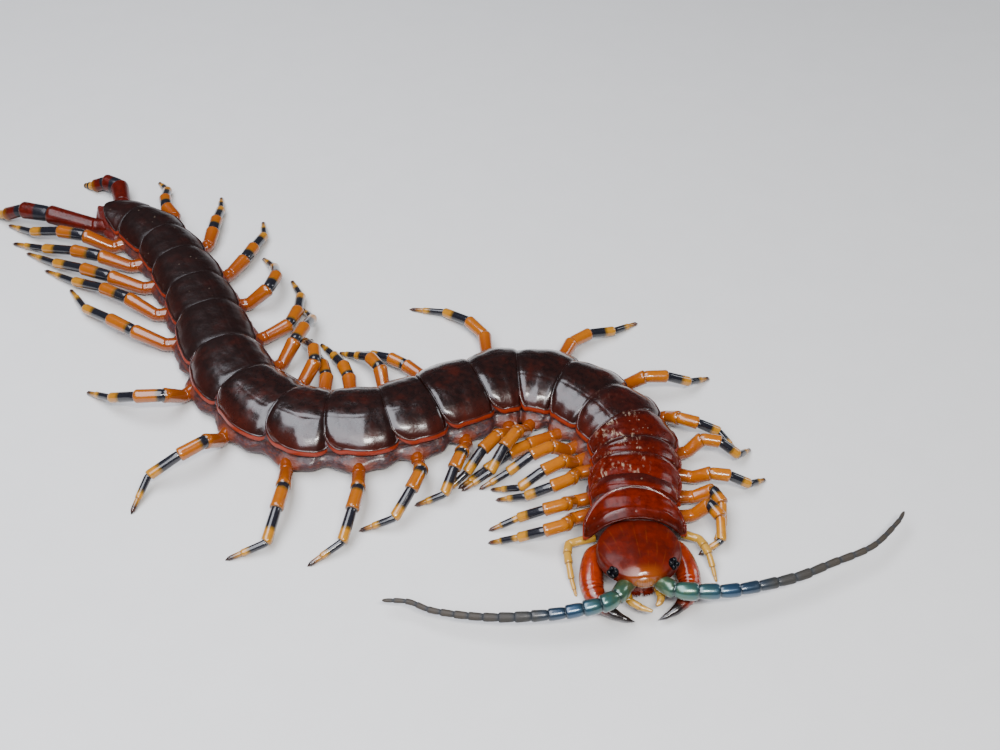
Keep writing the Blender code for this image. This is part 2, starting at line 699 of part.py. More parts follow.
def build_claws(collection):
    """The plate under the head with its tooth plates and stubs, and the two poison claws."""
    place = head_frame()
    low, high = CARRIER_HEIGHTS
    bm = bmesh.new()
    bmesh.ops.create_cube(bm, size=2.0)
    back, front = CARRIER_HALF_WIDTH
    for vert in bm.verts:
        x, y, z = vert.co
        half = front if y > 0 else back
        forward = CARRIER_FRONT if y > 0 else -CARRIER_BACK
        vert.co = metres(place @ Vector((x * half, forward, high if z > 0 else low)))
    bm.normal_update()
    bmesh.ops.bevel(bm, geom=list(bm.edges), offset=CARRIER_BEVEL * MM, segments=1, affect="EDGES", profile=0.5)
    carrier = finish_mesh(bm, "claw_carrier", collection, "claw_shell")
    pieces = []
    for side in SIGN:
        wide, long, thick = TOOTH_PLATE
        aside, forward = SIGN[side] * TOOTH_PLATE_ASIDE, CARRIER_FRONT + long / 2 - TOOTH_PLATE_SUNK
        at = place @ Matrix.Translation((aside, forward, sum(CARRIER_HEIGHTS) / 2))
        pieces.append(primitive("tooth_plate_" + side, "create_cube",
                                at @ Matrix.Diagonal((wide, long, thick, 1.0)), collection, "claw_shell", size=1.0))
        start, end, _ = claw_root(side)
        pieces.append(rod("claw_root_" + side, start, end, CLAW_ROOT_RADIUS, collection, "claw_shell"))
    combine(carrier, pieces, "UNION")
    for side in SIGN:
        _, face, direction = claw_root(side)
        route = [face + direction * GAP] + [in_head(side, *p) for p in CLAW_ROUTE]
        tube("poison_claw_" + side, route, CLAW_ROUTE_RADII, collection, "claw_shell", resolution=2)


def build_palp(side, collection):
    """One of the two small palps that lie before the mouth."""
    start, end = palp_root(side)
    root = end + (end - start).normalized() * GAP
    route = [root] + [in_head(side, *p) for p in PALP_ROUTES[side]]
    tube("palp_" + side, route, PALP_RADII, collection, "leg_pale")


def main():
    for old in list(bpy.data.objects):
        bpy.data.objects.remove(old)
    collection = bpy.data.collections.new("giant_centipede")
    bpy.context.scene.collection.children.link(collection)
    build_body(collection)
    build_head(collection)
    build_claws(collection)
    for side in SIGN:
        build_eyes(side, collection)
        build_feeler(side, collection)
        build_palp(side, collection)
        for pair in range(1, PLATES + 1):
            build_leg(pair, side, collection)


main()
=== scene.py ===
"""A giant centipede at rest, life size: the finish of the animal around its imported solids.

Places and sizes below are in millimetres and degrees from the pose's own origin, as the solids'
are, and become metres only where a mesh, a lamp or the camera is placed.
"""

import math

import bmesh
import bpy
from bpy.props import FloatVectorProperty, IntProperty, PointerProperty
from mathutils import Matrix, Vector, noise


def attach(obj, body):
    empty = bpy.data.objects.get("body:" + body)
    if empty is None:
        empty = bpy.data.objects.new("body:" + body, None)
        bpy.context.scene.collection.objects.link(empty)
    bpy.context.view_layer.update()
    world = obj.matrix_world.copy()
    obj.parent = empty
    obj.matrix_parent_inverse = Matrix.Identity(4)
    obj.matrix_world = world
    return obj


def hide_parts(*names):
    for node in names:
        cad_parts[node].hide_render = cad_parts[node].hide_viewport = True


bl_info = {
    "name": "Giant Centipede",
    "version": (1, 0, 0),
    "blender": (4, 5, 0),
    "location": "View3D > Sidebar > Centipede",
    "description": "Builds a life-size giant centipede with its plates, legs, head and feelers",
    "category": "Add Mesh",
}

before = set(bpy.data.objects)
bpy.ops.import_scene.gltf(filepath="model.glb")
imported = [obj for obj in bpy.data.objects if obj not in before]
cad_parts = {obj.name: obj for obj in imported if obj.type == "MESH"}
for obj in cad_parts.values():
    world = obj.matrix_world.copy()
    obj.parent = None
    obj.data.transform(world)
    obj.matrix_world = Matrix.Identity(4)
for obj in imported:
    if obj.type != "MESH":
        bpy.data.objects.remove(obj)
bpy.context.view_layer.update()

MM = 0.001
SIDES = ("right", "left")
SIGN = {"right": 1, "left": -1}

# The pose, as in the solids: the plates from the neck to the tail, and the body's width by plate
PLAN_CENTRE = (-20.02, 0.08)
PLATE_LENGTHS = (
    6.2, 2.0, 5.9, 3.6, 6.1, 6.8, 8.2,
    8.4, 7.6, 9.7, 8.2, 10.2, 8.4, 11.0,
    10.6, 11.6, 9.4, 9.6, 8.4, 9.6, 6.4,
)
PLATE_BEARINGS = (
    -92, -95, -95, -91, -80, -56, -40,
    -15, 14, 26, 26, 8, -14, -41,
    -60, -68, -66, -62, -58, -47, -24,
)
PLATES = len(PLATE_LENGTHS)
NECK = Vector((22.2, -43.4, 0.0))
LEAD_IN = 8.0
WIDEST = 15.6
WIDTH_BY_PLATE = (
    (0, 1.05), (1.5, 0.98), (6, 0.95), (9, 1.0), (12, 1.0), (14.5, 0.92), (17, 0.81), (19, 0.74), (21, 0.6),
)
BELLY = 0.9

# The legs' roots: places in plates from each plate's front, and shares of the body's half width
ROOT_ALONG_PLATE = {
    "right": (
        (1, 0.0), (2, -0.17), (3, 0.15), (4, 0.46), (5, 0.45), (6, 0.68), (7, 0.45), (8, 0.62), (9, 0.76),
        (11, 0.8), (12, 0.6), (15, 0.6), (16, 0.78), (20, 0.8), (21, 0.7),
    ),
    "left": (
        (1, 0.26), (2, 0.37), (3, 0.55), (4, 0.5), (6, 0.3), (7, 0.38), (9, 0.5), (10, 0.7), (14, 0.6),
        (16, 0.38), (18, 0.38), (20, 0.7), (21, 0.7),
    ),
}
ROOT_INSIDE = 0.8
ROOT_OUTSIDE = 1.19
ROOT_HEIGHT = 2.2
ROOT_GAP = 0.3
COXA_TURN_MOST = 20.0
LAST_ROOT_INSIDE = 0.42
LAST_COXA_REACH = 3.4
LAST_COXA_TURN_MOST = 75.0
TROCHANTER = 0.9

# The legs' lengths by pair, and their articles from the thigh to the claw
LEG_LENGTHS = {
    "right": (
        (1, 10.0), (2, 18.2), (8, 19.5), (10, 18.5), (11, 21.5), (13, 24.0), (15, 24.5), (16, 30.5),
        (18, 31.0), (20, 27.5),
    ),
    "left": (
        (1, 8.5), (2, 15.0), (5, 15.5), (8, 20.5), (9, 24.5), (10, 17.0), (13, 18.0), (15, 22.0),
        (17, 22.5), (19, 19.0), (20, 16.5),
    ),
}
LAST_LEG_ARTICLES = (9.6, 5.8, 5.0, 3.2, 2.0, 0.8)
LAST_LEG_SHARE = {"right": 1.0, "left": 0.6}
ARTICLE_SHARES = (0.225, 0.21, 0.26, 0.185, 0.085, 0.035)
# Radii where each article starts and ends, on a leg of thickness 1
ARTICLE_RADII = ((1.24, 1.34), (1.18, 1.22), (0.93, 0.95), (0.68, 0.6), (0.5, 0.42), (0.3, 0.1))
TROCHANTER_RADII = (1.22, 1.24)
COXA_RADIUS = 1.4
COXA_TAPER = (0.95, 0.9)
LEG_CLAW_RADIUS = 0.3
LEG_CLAW_POINT_RADIUS = 0.04
FIRST_LEG_THICKNESS = 0.58
LEG_THICKNESS_FRONT = 0.9
LEG_THICKNESS_GROWTH = 0.17
LAST_LEG_THICKNESS = 1.42
LEG_CORNER_REACH = 0.45
LEG_JOINT_WIDTH = 0.3
FLOOR_CLEARANCE = 0.03
TIP_HEIGHT = 0.1
TIBIA_DROP_SHARE = 0.5
FEMUR_LIFT_SHARE = -0.1
FEMUR_TURN_SHARE = 0.7
# The pose of each leg, from the neck to the tail: the thigh's sweep ahead of square to the body, the turns
# of knee and ankle further ahead, and the thigh's lift
LEG_POSES = {
    "right": (
        (85, 17, 5, 4), (75, -78, -1, 35), (67, -64, 13, 39), (78, -71, -14, 35), (37, -19, -42, 40),
        (-8, -3, -5, 40), (-19, 5, 3, 4), (-17, -3, -32, 39), (-58, 0, -13, 32), (-40, -9, -60, 34),
        (-13, -42, -49, 36), (-3, -18, -43, 22), (19, -15, -60, 20), (16, -38, 46, 40), (25, -76, -12, 40),
        (-42, -19, -18, 12), (-54, -2, -5, 13), (-40, -20, -5, 17), (-43, -15, -3, 18), (-54, -14, -15, 25),
        (-78, -13, -11, 15),
    ),
    "left": (
        (67, 4, 4, 8), (-16, 100, 70, 42), (-8, 97, 19, 26), (11, -10, -43, 31), (-13, 39, -70, 42),
        (85, -53, 44, 36), (59, -25, -25, 40), (9, 41, -13, 4), (10, -44, -22, 4), (-22, -10, -12, 4),
        (11, -28, -10, 39), (-3, -19, -6, 4), (-17, -25, 13, 4), (-5, -66, 5, 40), (-24, -28, -35, 40),
        (-14, -56, -21, 7), (8, -88, -16, 37), (-33, -15, -24, 6), (-54, -3, -10, 6), (-83, 34, -29, 6),
        (-35, -66, 26, 4),
    ),
}
# How an article swells along its length: share of its length, and share of its radius
ARTICLE_SHAPE = (
    (0.0, 0.92), (0.03, 0.94), (0.07, 0.97), (0.14, 0.99), (0.3, 1.0), (0.5, 1.01), (0.7, 1.02),
    (0.84, 1.03), (0.9, 1.04), (0.94, 1.03), (0.965, 0.99), (0.985, 0.93),
)
ROOT_SHAPE = ((0.0, 1.0), (0.1, 1.02), (0.5, 1.02), (0.85, 1.0), (0.95, 0.96))
TIP_SHAPE = ((0.0, 1.3), (0.1, 1.4), (0.3, 1.15), (0.55, 0.8), (0.8, 0.45), (1.0, 0.1))
# How much deeper and darker the legs' orange is, by pair: partly the hind legs' own deeper colour, partly
# painted fall-off of light towards the tail
LEG_DEPTH = ((1, 0.0), (3, 0.0), (7, 0.3), (10, 0.6), (14, 0.7), (17, 0.9), (20, 1.0))
# The black bands by article, each with its start and end in shares of the article
FIRST_BANDS = {
    "right": ((4, -0.1, 0.6), (5, 0.3, 0.9)),
    "left": ((3, 0.05, 0.5), (5, 0.0, 0.3), (6, 0.4, 0.9)),
}
USUAL_BANDS = ((4, -0.1, 0.62), (5, -0.1, 0.72))
MIDDLE_BAND = (3, -0.1, 0.2)
MIDDLE_BAND_FROM = 10
REAR_BAND = (3, -0.1, 0.45)
REAR_BAND_FROM = 17
LAST_BANDS = ((3, 0.0, 0.5), (4, 0.0, 0.3), (5, 0.55, 1.0), (6, 0.4, 1.0))
BAND_START_FADE = (-0.05, 0.03)
BAND_END_FADE = (-0.15, 0.12)

# The head, from its own middle
HEAD_FROM_NECK = (0.2, -5.0)
HEAD_BEARING = -85.0
HEAD_HALF_WIDTH = 6.9
HEAD_HALF_LENGTH = 6.4
HEAD_BACK_REACH = 0.3
HEAD_RIM_HEIGHT = 5.4
HEAD_DOME = 2.9
HEAD_UNDERSIDE = 0.75
HEAD_TAPER = 0.17
HEAD_SQUARENESS = 2.35
HEAD_FLATNESS = 0.5
DOME_FLATNESS = 0.75
# The relief of the head's top: the groove's depth and width, the rim, and the brow between the feelers
HEAD_GROOVE = (0.1, 0.05)
HEAD_RIM_BEAD = 0.1
BROW_RISE = 0.35
BROW_PLACE = 0.85
BROW_SIZE = (0.3, 0.16)
# Bumps and dents of the head's front, on both sides: rise, aside, forward, and the square of the width
HEAD_BUMPS = ((0.2, 0.66, 0.62, 0.03), (-0.3, 0.45, 0.93, 0.02))
# Unevenness: scale and depth
HEAD_UNEVENNESS = (0.4, 0.07)
# The face: half sizes across, along and up, and where the middles lie
FACE_CAPSULE = (4.3, 5.2, 2.2)
FACE_CAPSULE_HEIGHT = 4.7
FACE_SHIELD = (2.35, 1.6, 1.5)
FACE_SHIELD_PLACE = (5.3, 5.9)
FACE_SHIELD_TAPER = 0.15
# The eyes: where each cluster sits, and its beads' places aside and forward
EYE_ASIDE = 4.65
EYE_FORWARD = {"right": 4.3, "left": 3.7}
EYE_TILT = 42.0
EYE_FACET_DEPTH = 0.35
EYE_BEADS = ((0.44, 0.34), (-0.42, 0.42), (-0.5, -0.36), (0.4, -0.48))
EYE_BEAD_RADII = (0.46, 0.43, 0.48, 0.43)
EYE_BEAD_RISE = 0.95
EYE_PATCH = (0.95, 0.3)
EYE_PATCH_BELOW_BEADS = 0.2

# The feelers and their sockets: routes from the head's middle, aside, forward and up
SOCKET_ASIDE = 1.2
SOCKET_FORWARD = 4.4
SOCKET_HEIGHT = 5.0
SOCKET_SPREAD = 50.0
SOCKET_REACH = 2.7
SOCKET_SHOWN = 1.5
STUB_SIDES = 32
STUB_CORNER_REACH = 0.05
SOCKET_SWELL = ((0.0, 1.0), (0.6, 1.15), (0.85, 1.2), (1.0, 1.0))
FEELER_ROUTES = {
    "right": ((4.4, 7.9, 5.3), (6.6, 9.3, 5.5), (9.8, 9.9, 5.2), (15.9, 10.2, 4.6), (25.0, 9.4, 4.0),
              (33.3, 7.0, 3.4), (37.5, 4.5, 3.1), (41.7, 3.6, 2.8)),
    "left": ((4.2, 7.3, 5.3), (6.2, 8.1, 5.5), (9.2, 8.3, 5.3), (14.8, 8.1, 4.9), (24.3, 6.1, 4.4),
             (31.3, 3.3, 4.0), (38.8, 0.1, 3.6), (44.3, -4.7, 3.3), (46.4, -7.3, 3.2)),
}
FEELER_LEAD_IN = 3.0
FEELER_ROUTE_STEPS = 20
FEELER_CORNER_REACH = 0.1
FEELER_IN_SOCKET = 0.2
FEELER_ARTICLES = 17
FEELER_FIRST_LENGTH = 3.1
FEELER_LAST_LENGTH = 1.9
FEELER_LEAD = {"right": 1.15, "left": 0.0}
FEELER_RADII = ((0, 1.3), (1, 1.35), (2, 1.22), (4, 0.98), (6, 0.84), (9, 0.64), (13, 0.48), (17, 0.32))
FEELER_SHAPE = (
    (0.0, 0.84), (0.04, 0.88), (0.12, 0.95), (0.3, 1.0), (0.5, 1.02), (0.7, 1.04), (0.82, 1.05),
    (0.9, 1.03), (0.95, 0.97), (0.985, 0.88),
)
FEELER_TIP_SHAPE = (
    (0.0, 0.84), (0.06, 0.9), (0.2, 1.0), (0.5, 1.0), (0.75, 0.85), (0.9, 0.6), (0.97, 0.35), (1.0, 0.08),
)
FEELER_BULGE = 0.09
BULGING_ARTICLES = 5
FEELER_JOINT_WIDTH = 0.5

# The poison claws: their stubs, and the routes and creases of the claws
CLAW_ROOT_ASIDE = 4.5
CLAW_ROOT_FORWARD = -2.8
CLAW_ROOT_REACH = 1.9
CLAW_ROOT_TURN = 50.0
CLAW_HEIGHT = 2.2
CLAW_ROOT_PAST_FACE = 0.3
CLAW_ROOT_SWELL = ((0.0, 1.3), (0.5, 1.45), (0.85, 1.5), (1.0, 1.35))
CLAW_ROUTE = (
    (5.2, -4.0, 3.0), (6.9, -2.2, 2.9), (7.6, 0.2, 2.7), (7.9, 2.4, 2.45), (7.8, 4.6, 2.2),
    (6.9, 6.8, 2.0), (5.2, 8.5, 1.7), (3.4, 9.5, 1.35), (1.9, 10.0, 1.0),
)
CLAW_ROUTE_RADII = (1.2, 1.75, 1.95, 2.0, 1.85, 1.4, 0.9, 0.5, 0.1)
CLAW_STEPS = 12
CLAW_POINT_RADIUS = 0.08
CLAW_FLATNESS = 0.92
CLAW_CREASES = (0.56, 0.61, 0.665)
CREASE_WIDTH = 0.012
CREASE_DEPTH = 0.12
# The plate that carries the claws: its half widths behind and in front, and its middle's place along and up
CARRIER_HALF_WIDTHS = (4.8, 2.6)
CARRIER_HALF_LENGTH = 4.2
CARRIER_HALF_THICKNESS = 0.78
CARRIER_MIDDLE = (0.2, 1.68)
CARRIER_ROUNDING = 0.12
CARRIER_EDGE_THINNING = 0.35
CARRIER_GROOVE = (0.12, 0.06)
CARRIER_BEVEL = 0.2
TOOTH_PLATE_START = (0.25, 3.9, 1.7)
TOOTH_PLATE_SIZE = (1.6, 1.2, 0.35)
TOOTH_PLATE_SLANT = 0.3
TEETH = 4
TOOTH_LENGTH = 0.3

# The palps: roots and routes from the head's middle, aside, forward and up
PALP_ROOT = (2.0, 3.0, 3.3)
PALP_ROUTES = {
    "right": ((2.5, 5.6, 2.75), (2.4, 7.2, 2.75), (0.8, 8.6, 2.75), (-1.0, 9.5, 2.7)),
    "left": ((2.5, 5.6, 2.75), (2.8, 6.8, 2.75), (2.4, 7.8, 2.7), (1.7, 8.4, 2.6)),
}
PALP_RADII = (0.5, 0.62, 0.64, 0.58, 0.22)
PALP_CORNER_REACH = 0.25
PALP_JOINT_WIDTH = 0.25

# The back plates' arch: share of the half width, and height at the widest plate
PLATE_ARCH = ((0.0, 9.2), (0.2, 9.15), (0.42, 8.85), (0.62, 8.25), (0.8, 7.3), (0.91, 6.4), (0.965, 5.75))
SIDE_LIFT = 0.14
# Unevenness: scale and depth
PLATE_UNEVENNESS = (0.45, 0.08)
# How far a plate lies below the arch, and how wide it is, by shares of its segment
PLATE_DROP = ((-0.1, -0.68), (0, -0.56), (0.15, -0.1), (0.55, 0.1), (0.93, 0.28), (1.1, 0.33))
FIRST_PLATE_DROP = ((-0.3, -1.5), (0.0, -1.3), (0.3, -0.65), (0.65, -0.05), (1.1, 0.15))
PLATE_SPREAD = ((-0.1, 0.88), (0, 0.91), (0.2, 0.985), (0.5, 1.02), (0.8, 1.0), (1.1, 0.94))
FIRST_PLATE_SPREAD = 1.03
PLATE_LEVEL_LENGTH = 5.0
# The plates' outlines, and how much of a corner's rounding their fronts and rears take up
PLATE_OVERLAP = 0.75
LAST_PLATE_REACH = 0.6
PLATE_TUCK = 0.5
SECOND_PLATE_WING = 3.4
PLATE_BOW = {1: 4.0, 2: 0.3, 21: 3.2}
USUAL_BOW = 0.5
BOW_POWER = 1.8
FIRST_PLATE_START = 0.5
FIRST_PLATE_REACH = 1.5
FIRST_PLATE_TURN = 0.5
CORNER = 2.1
CORNER_MOST_SHARE = 0.36
WIDTH_TAKEN_AT = 0.45
CORNER_PULL = (0.8, 1.0)
FIRST_CORNER_PULL = (0.6, 0.5)
# The lobes that plates form on the outer side of a bend, and the turn that brings them out in full
BEND_LOBE = 0.07
BEND_WAIST = 0.16
BEND_FULL = 0.3
LOBE_PLACE = 0.35
LOBE_LENGTH = 0.3
WAIST_FROM = 0.6
# The ridges by plate, the first plate's front ridge as rise, place and width, and the furrows likewise
PLATE_RIDGES = {1: 0.34, 2: 0.1, 3: 0.22, 4: 0.12, 5: 0.1}
RIDGE_WIDTH = 0.3
RIDGE_FROM_REAR = 0.45
FRONT_RIDGE = (0.17, 1.3, 0.22)
FURROW = (0.04, 0.36, 0.025)
FURROW_START = (0.1, 0.25)
REAR_ROLL = 0.24
REAR_ROLL_REACH = 0.9
# Where the plates become tail plates, with less rear roll, duller gloss and darker colour; the darker colour
# is partly their own, partly painted fall-off of light towards the tail
TAIL_PLATES = (14.0, 16.0)
TAIL_ROLL_LOSS = 0.6
# The rolled rim, in steps out and up from the plate's edge
SIDE_LIP = ((0.08, 0.07), (0.2, 0.03), (0.3, -0.12), (0.41, -0.4), (0.47, -0.7), (0.44, -1.0), (0.24, -1.15))
REAR_LIP = (
    (0.08, 0.06), (0.18, 0.05), (0.25, -0.05), (0.27, -0.16), (0.24, -0.27), (0.16, -0.34), (0.06, -0.36),
)
PLATE_THICKNESS = 0.16
# The plates' looks, and how finely they are made
RED_PLATES = 5
PLATE_REDNESS = (
    1, 0.8, 0.9, 0.6, 0.55, 0.3, 0.15,
    0.1, 0.08, 0.06, 0.04, 0.03, 0.0, 0.0,
    0.0, 0.0, 0.0, 0.0, 0.0, 0.08, 0.3,
)
PLATE_DUST = {1: 0.15, 2: 0.3, 3: 0.9, 4: 1.0, 5: 1.0, 6: 0.4, 17: 0.25, 18: 0.3, 19: 0.3, 20: 0.3, 21: 0.2}
PLATE_MARKS = ("down", "across", "red", "dust", "tail", "edge", "along", "turn", "lip")
PLATE_COLUMNS = 22
PLATE_ROWS = 38
ROW_CROWDING = 1.35
CORNER_STEPS = 7

# The soft skin below the plates, one side: share of the half width, and height at the widest plate
SKIN_PROFILE = (
    (0.0, 8.55), (0.4, 8.15), (0.72, 6.95), (0.9, 5.35), (0.9, 4.45), (0.93, 3.95),
    (1.03, 3.35), (1.1, 2.6), (1.1, 1.9), (1.02, 1.3), (0.84, 0.98), (0.45, 0.92), (0.0, 0.9),
)
SKIN_STEPS_PER_PLATE = 16
SKIN_SIDES = 72
# Where the skin opens behind the head and closes past the tail, in plates from the neck
SKIN_START = -0.06
SKIN_PAST_TAIL = 0.45
NECK_OPENING = (-0.1, 0.25)
NECK_END = (4.0, 1.5)
NECK_NARROWING = 0.13
LAST_SEGMENT = (PLATES - 1.3, PLATES - 0.4)
TAIL_CLOSING = (PLATES - 0.3, PLATES + 0.42)
# The least opening across and up, and the height that the skin closes to
LEAST_OPENING = (0.12, 0.35)
CLOSING_HEIGHT = 4.0
# The folds between the segments, and the swellings at the legs' roots
LOWER_FLANK = (5.4, 3.6)
FLANK_FROM = 0.5
FOLD_REACH = 2.6
FOLD_DEPTH = 0.1
SEGMENT_SWELL = 0.05
ROOT_SWELL = 0.5
ROOT_SWELL_WIDTH = 2.0
ROOT_PATCH_WIDTH = 2.6
ROOT_RANGE = 5.0
# Ripples of the skin: scale and depth
SKIN_RIPPLES = ((0.5, 0.3), (1.3, 0.16), (3.0, 0.05))
SKIN_LOWEST = 0.35

# The belly plates: start and length in shares of a segment, and the furrows' depth, place and width
BELLY_PLATE_SPAN = (0.08, 0.84)
BELLY_PLATE_HALF_WIDTH = 0.52
BELLY_PLATE_HEIGHT = 0.5
BELLY_PLATE_THICKNESS = 0.14
BELLY_RIM = 0.35
BELLY_RIM_FROM = 0.75
BELLY_CORNER = 0.1
BELLY_FURROW = (0.1, 0.45, 0.05)

# The camera, and the lamps by name, place, aim, size, power and colour
CAMERA_PLACE = Vector((0.0, -205.9, 192.0))
CAMERA_PITCH = 43.0
CAMERA_LENS = 54.0
CAMERA_SENSOR = 36.0
LAMPS = (
    ("overhead_panel", (-135, -150, 330), (-135, -150, 0), (230, 600), 3.6, (0.89, 0.91, 1.0)),
    ("key_lamp", (60, -260, 330), (20, -40, 0), (150, 35), 1.6, (1.0, 0.97, 0.93)),
    ("right_edge_lamp", (260, 90, 140), (10, 0, 0), (50, 120), 0.15, (0.92, 0.96, 1.0)),
)
SKY_COLOUR = (0.72, 0.78, 0.9, 1.0)
SKY_STRENGTH = 0.1
FLOOR_HALF = 3.0


def interpolate(table, where):
    """The value at a place in a table of (place, value) pairs, eased between them."""
    if where <= table[0][0]:
        return table[0][1]
    for (a, low), (b, high) in zip(table, table[1:]):
        if where <= b:
            t = (where - a) / (b - a)
            t = t * t * (3 - 2 * t)
            return low + (high - low) * t
    return table[-1][1]


def spline(points, where):
    """A point of the smooth curve through the points, where 1.0 is the second of them."""
    i = min(max(int(math.floor(where)), 1), len(points) - 3)
    t = where - i
    a, b, c, d = points[i - 1:i + 3]
    bend, twist = 2 * a - 5 * b + 4 * c - d, 3 * b - a - 3 * c + d
    return 0.5 * ((2 * b) + (c - a) * t + bend * t * t + twist * t ** 3)


def extended(points):
    """The points with one more at each end, for a curve that runs through them all."""
    return [points[0] * 2 - points[1], *points, points[-1] * 2 - points[-2]]


def smooth_step(low, high, value):
    t = min(1.0, max(0.0, (value - low) / (high - low)))
    return t * t * (3 - 2 * t)


def bell(offset, width):
    """1 at no offset, falling away on both sides."""
    return math.exp(-(offset / width) ** 2)


def bearing_vector(degrees):
    """A level unit vector along a bearing in the plan."""
    turn = math.radians(degrees)
    return Vector((math.cos(turn), math.sin(turn), 0.0))


def joint_points():
    """The plates' ends along the middle of the back, with one more point at each end for the curve."""
    points = [NECK + bearing_vector(PLATE_BEARINGS[0]) * LEAD_IN, NECK.copy()]
    for length, bearing in zip(PLATE_LENGTHS, PLATE_BEARINGS):
        points.append(points[-1] - bearing_vector(bearing) * length)
    points.append(points[-1] - bearing_vector(PLATE_BEARINGS[-1]) * LEAD_IN)
    return points


JOINTS = joint_points()


def axis_point(along):
    """The point of the body's axis at a distance counted in plates, from 0 at the neck."""
    return spline(JOINTS, along + 1.0)


def axis_frame(along):
    """The axis point with the unit vectors ahead and to the left."""
    step = 0.02
    ahead = (axis_point(along - step) - axis_point(along + step)).normalized()
    left = Vector((-ahead.y, ahead.x, 0.0))
    return axis_point(along), ahead, left


def size_share(along):
    return interpolate(WIDTH_BY_PLATE, along)


def half_width(along):
    return WIDEST / 2 * size_share(along)


def share_height(along, height):
    """A height at the widest plate, brought to the body's size at a place along it."""
    return BELLY + (height - BELLY) * size_share(along)


def outward_of(side, left):
    """The unit vector out of the body on a side, from the one to the left."""
    return left if side == "left" else -left


def metres(point):
    """A point of the pose, in metres from the part's origin."""
    return Vector((point[0] - PLAN_CENTRE[0], point[1] - PLAN_CENTRE[1], point[2])) * MM


def root_place(pair, side):
    """Where a leg roots, counted in plates from the neck."""
    return pair - 1 + interpolate(ROOT_ALONG_PLATE[side], pair)


def coxa_line(pair, side):
    """Where a leg's stub starts inside the body and where its face stands, with the stub's bearing."""
    along = root_place(pair, side)
    middle, ahead, left = axis_frame(along)
    outward = outward_of(side, left)
    last = pair == PLATES
    most = LAST_COXA_TURN_MOST if last else COXA_TURN_MOST
    turn = math.radians(max(-most, min(most, LEG_POSES[side][pair - 1][0])))
    direction = outward * math.cos(turn) + ahead * math.sin(turn)
    half = half_width(along)
    height = Vector((0, 0, BELLY + (ROOT_HEIGHT - BELLY) * (1.0 if last else size_share(along))))
    if last:
        start = middle + outward * half * LAST_ROOT_INSIDE + height
        return start, start + direction * LAST_COXA_REACH, direction
    face = middle + outward * half * ROOT_OUTSIDE + height
    return face - direction * half * (ROOT_OUTSIDE - ROOT_INSIDE) / math.cos(turn), face, direction


def leg_thickness(pair):
    if pair == 1:
        return FIRST_LEG_THICKNESS
    if pair == PLATES:
        return LAST_LEG_THICKNESS
    return LEG_THICKNESS_FRONT + LEG_THICKNESS_GROWTH * pair / PLATES


def leg_articles(pair, side):
    """The lengths of a leg's articles, from the thigh to the claw."""
    if pair == PLATES:
        return tuple(length * LAST_LEG_SHARE[side] for length in LAST_LEG_ARTICLES)
    return tuple(interpolate(LEG_LENGTHS[side], pair) * share for share in ARTICLE_SHARES)


def leg_joints(pair, side):
    """The points of a leg: its root, the short trochanter's end, and the end of each article."""
    _, face, coxa_direction = coxa_line(pair, side)
    _, ahead, left = axis_frame(root_place(pair, side))
    outward = outward_of(side, left)
    root = face + coxa_direction * ROOT_GAP
    points = [root, root + coxa_direction * TROCHANTER]
    sweep, knee, ankle, lift = LEG_POSES[side][pair - 1]
    turns = (sweep, sweep + knee * FEMUR_TURN_SHARE, sweep + knee) + (sweep + knee + ankle,) * 3
    lengths = leg_articles(pair, side)
    for i, (length, degrees) in enumerate(zip(lengths, turns)):
        turn = math.radians(degrees)
        flat = outward * math.cos(turn) + ahead * math.sin(turn)
        height = points[-1].z
        if i == 0:
            fall = length * math.sin(math.radians(lift))
        elif i == 1:
            fall = length * math.sin(math.radians(lift * FEMUR_LIFT_SHARE))
        elif i == 2:
            fall = -(height - TIP_HEIGHT) * TIBIA_DROP_SHARE
        else:
            fall = -(height - TIP_HEIGHT) * length / sum(lengths[i:])
        run = math.sqrt(max(length * length - fall * fall, 0.01))
        points.append(points[-1] + flat * run + Vector((0, 0, fall)))
    return points


def head_frame():
    """The matrix of the head: X to its right, Y ahead, Z up, from the floor below its middle."""
    ahead = bearing_vector(HEAD_BEARING)
    right = Vector((ahead.y, -ahead.x, 0.0))
    middle = NECK + Vector((*HEAD_FROM_NECK, 0.0))
    turn = Matrix((right, ahead, Vector((0, 0, 1)))).transposed().to_4x4()
    return Matrix.Translation(middle) @ turn


def in_head(side, aside, forward, height):
    """A point of the head, aside to one side, in the pose's millimetres."""
    return head_frame() @ Vector((SIGN[side] * aside, forward, height))


def socket_line(side):
    """A feeler's socket: where it starts inside the head, where its face stands, and its direction."""
    spread = math.radians(SOCKET_SPREAD)
    start = in_head(side, SOCKET_ASIDE, SOCKET_FORWARD, SOCKET_HEIGHT)
    direction = head_frame().to_3x3() @ Vector((SIGN[side] * math.sin(spread), math.cos(spread), 0.0))
    return start, start + direction * SOCKET_REACH, direction


def claw_root(side):
    """A poison claw's stub on the plate that carries it."""
    turn = math.radians(CLAW_ROOT_TURN)
    start = in_head(side, CLAW_ROOT_ASIDE, CLAW_ROOT_FORWARD, CLAW_HEIGHT)
    direction = head_frame().to_3x3() @ Vector((SIGN[side] * math.cos(turn), math.sin(turn), 0.0))
    return start, start + direction * CLAW_ROOT_REACH, direction


def pointing(at, direction):
    """A matrix that stands at a point with its Z axis along a direction."""
    z = direction.normalized()
    x = Vector((0, 0, 1)).cross(z).normalized()
    return Matrix.Translation(at) @ Matrix((x, z.cross(x), z)).transposed().to_4x4()


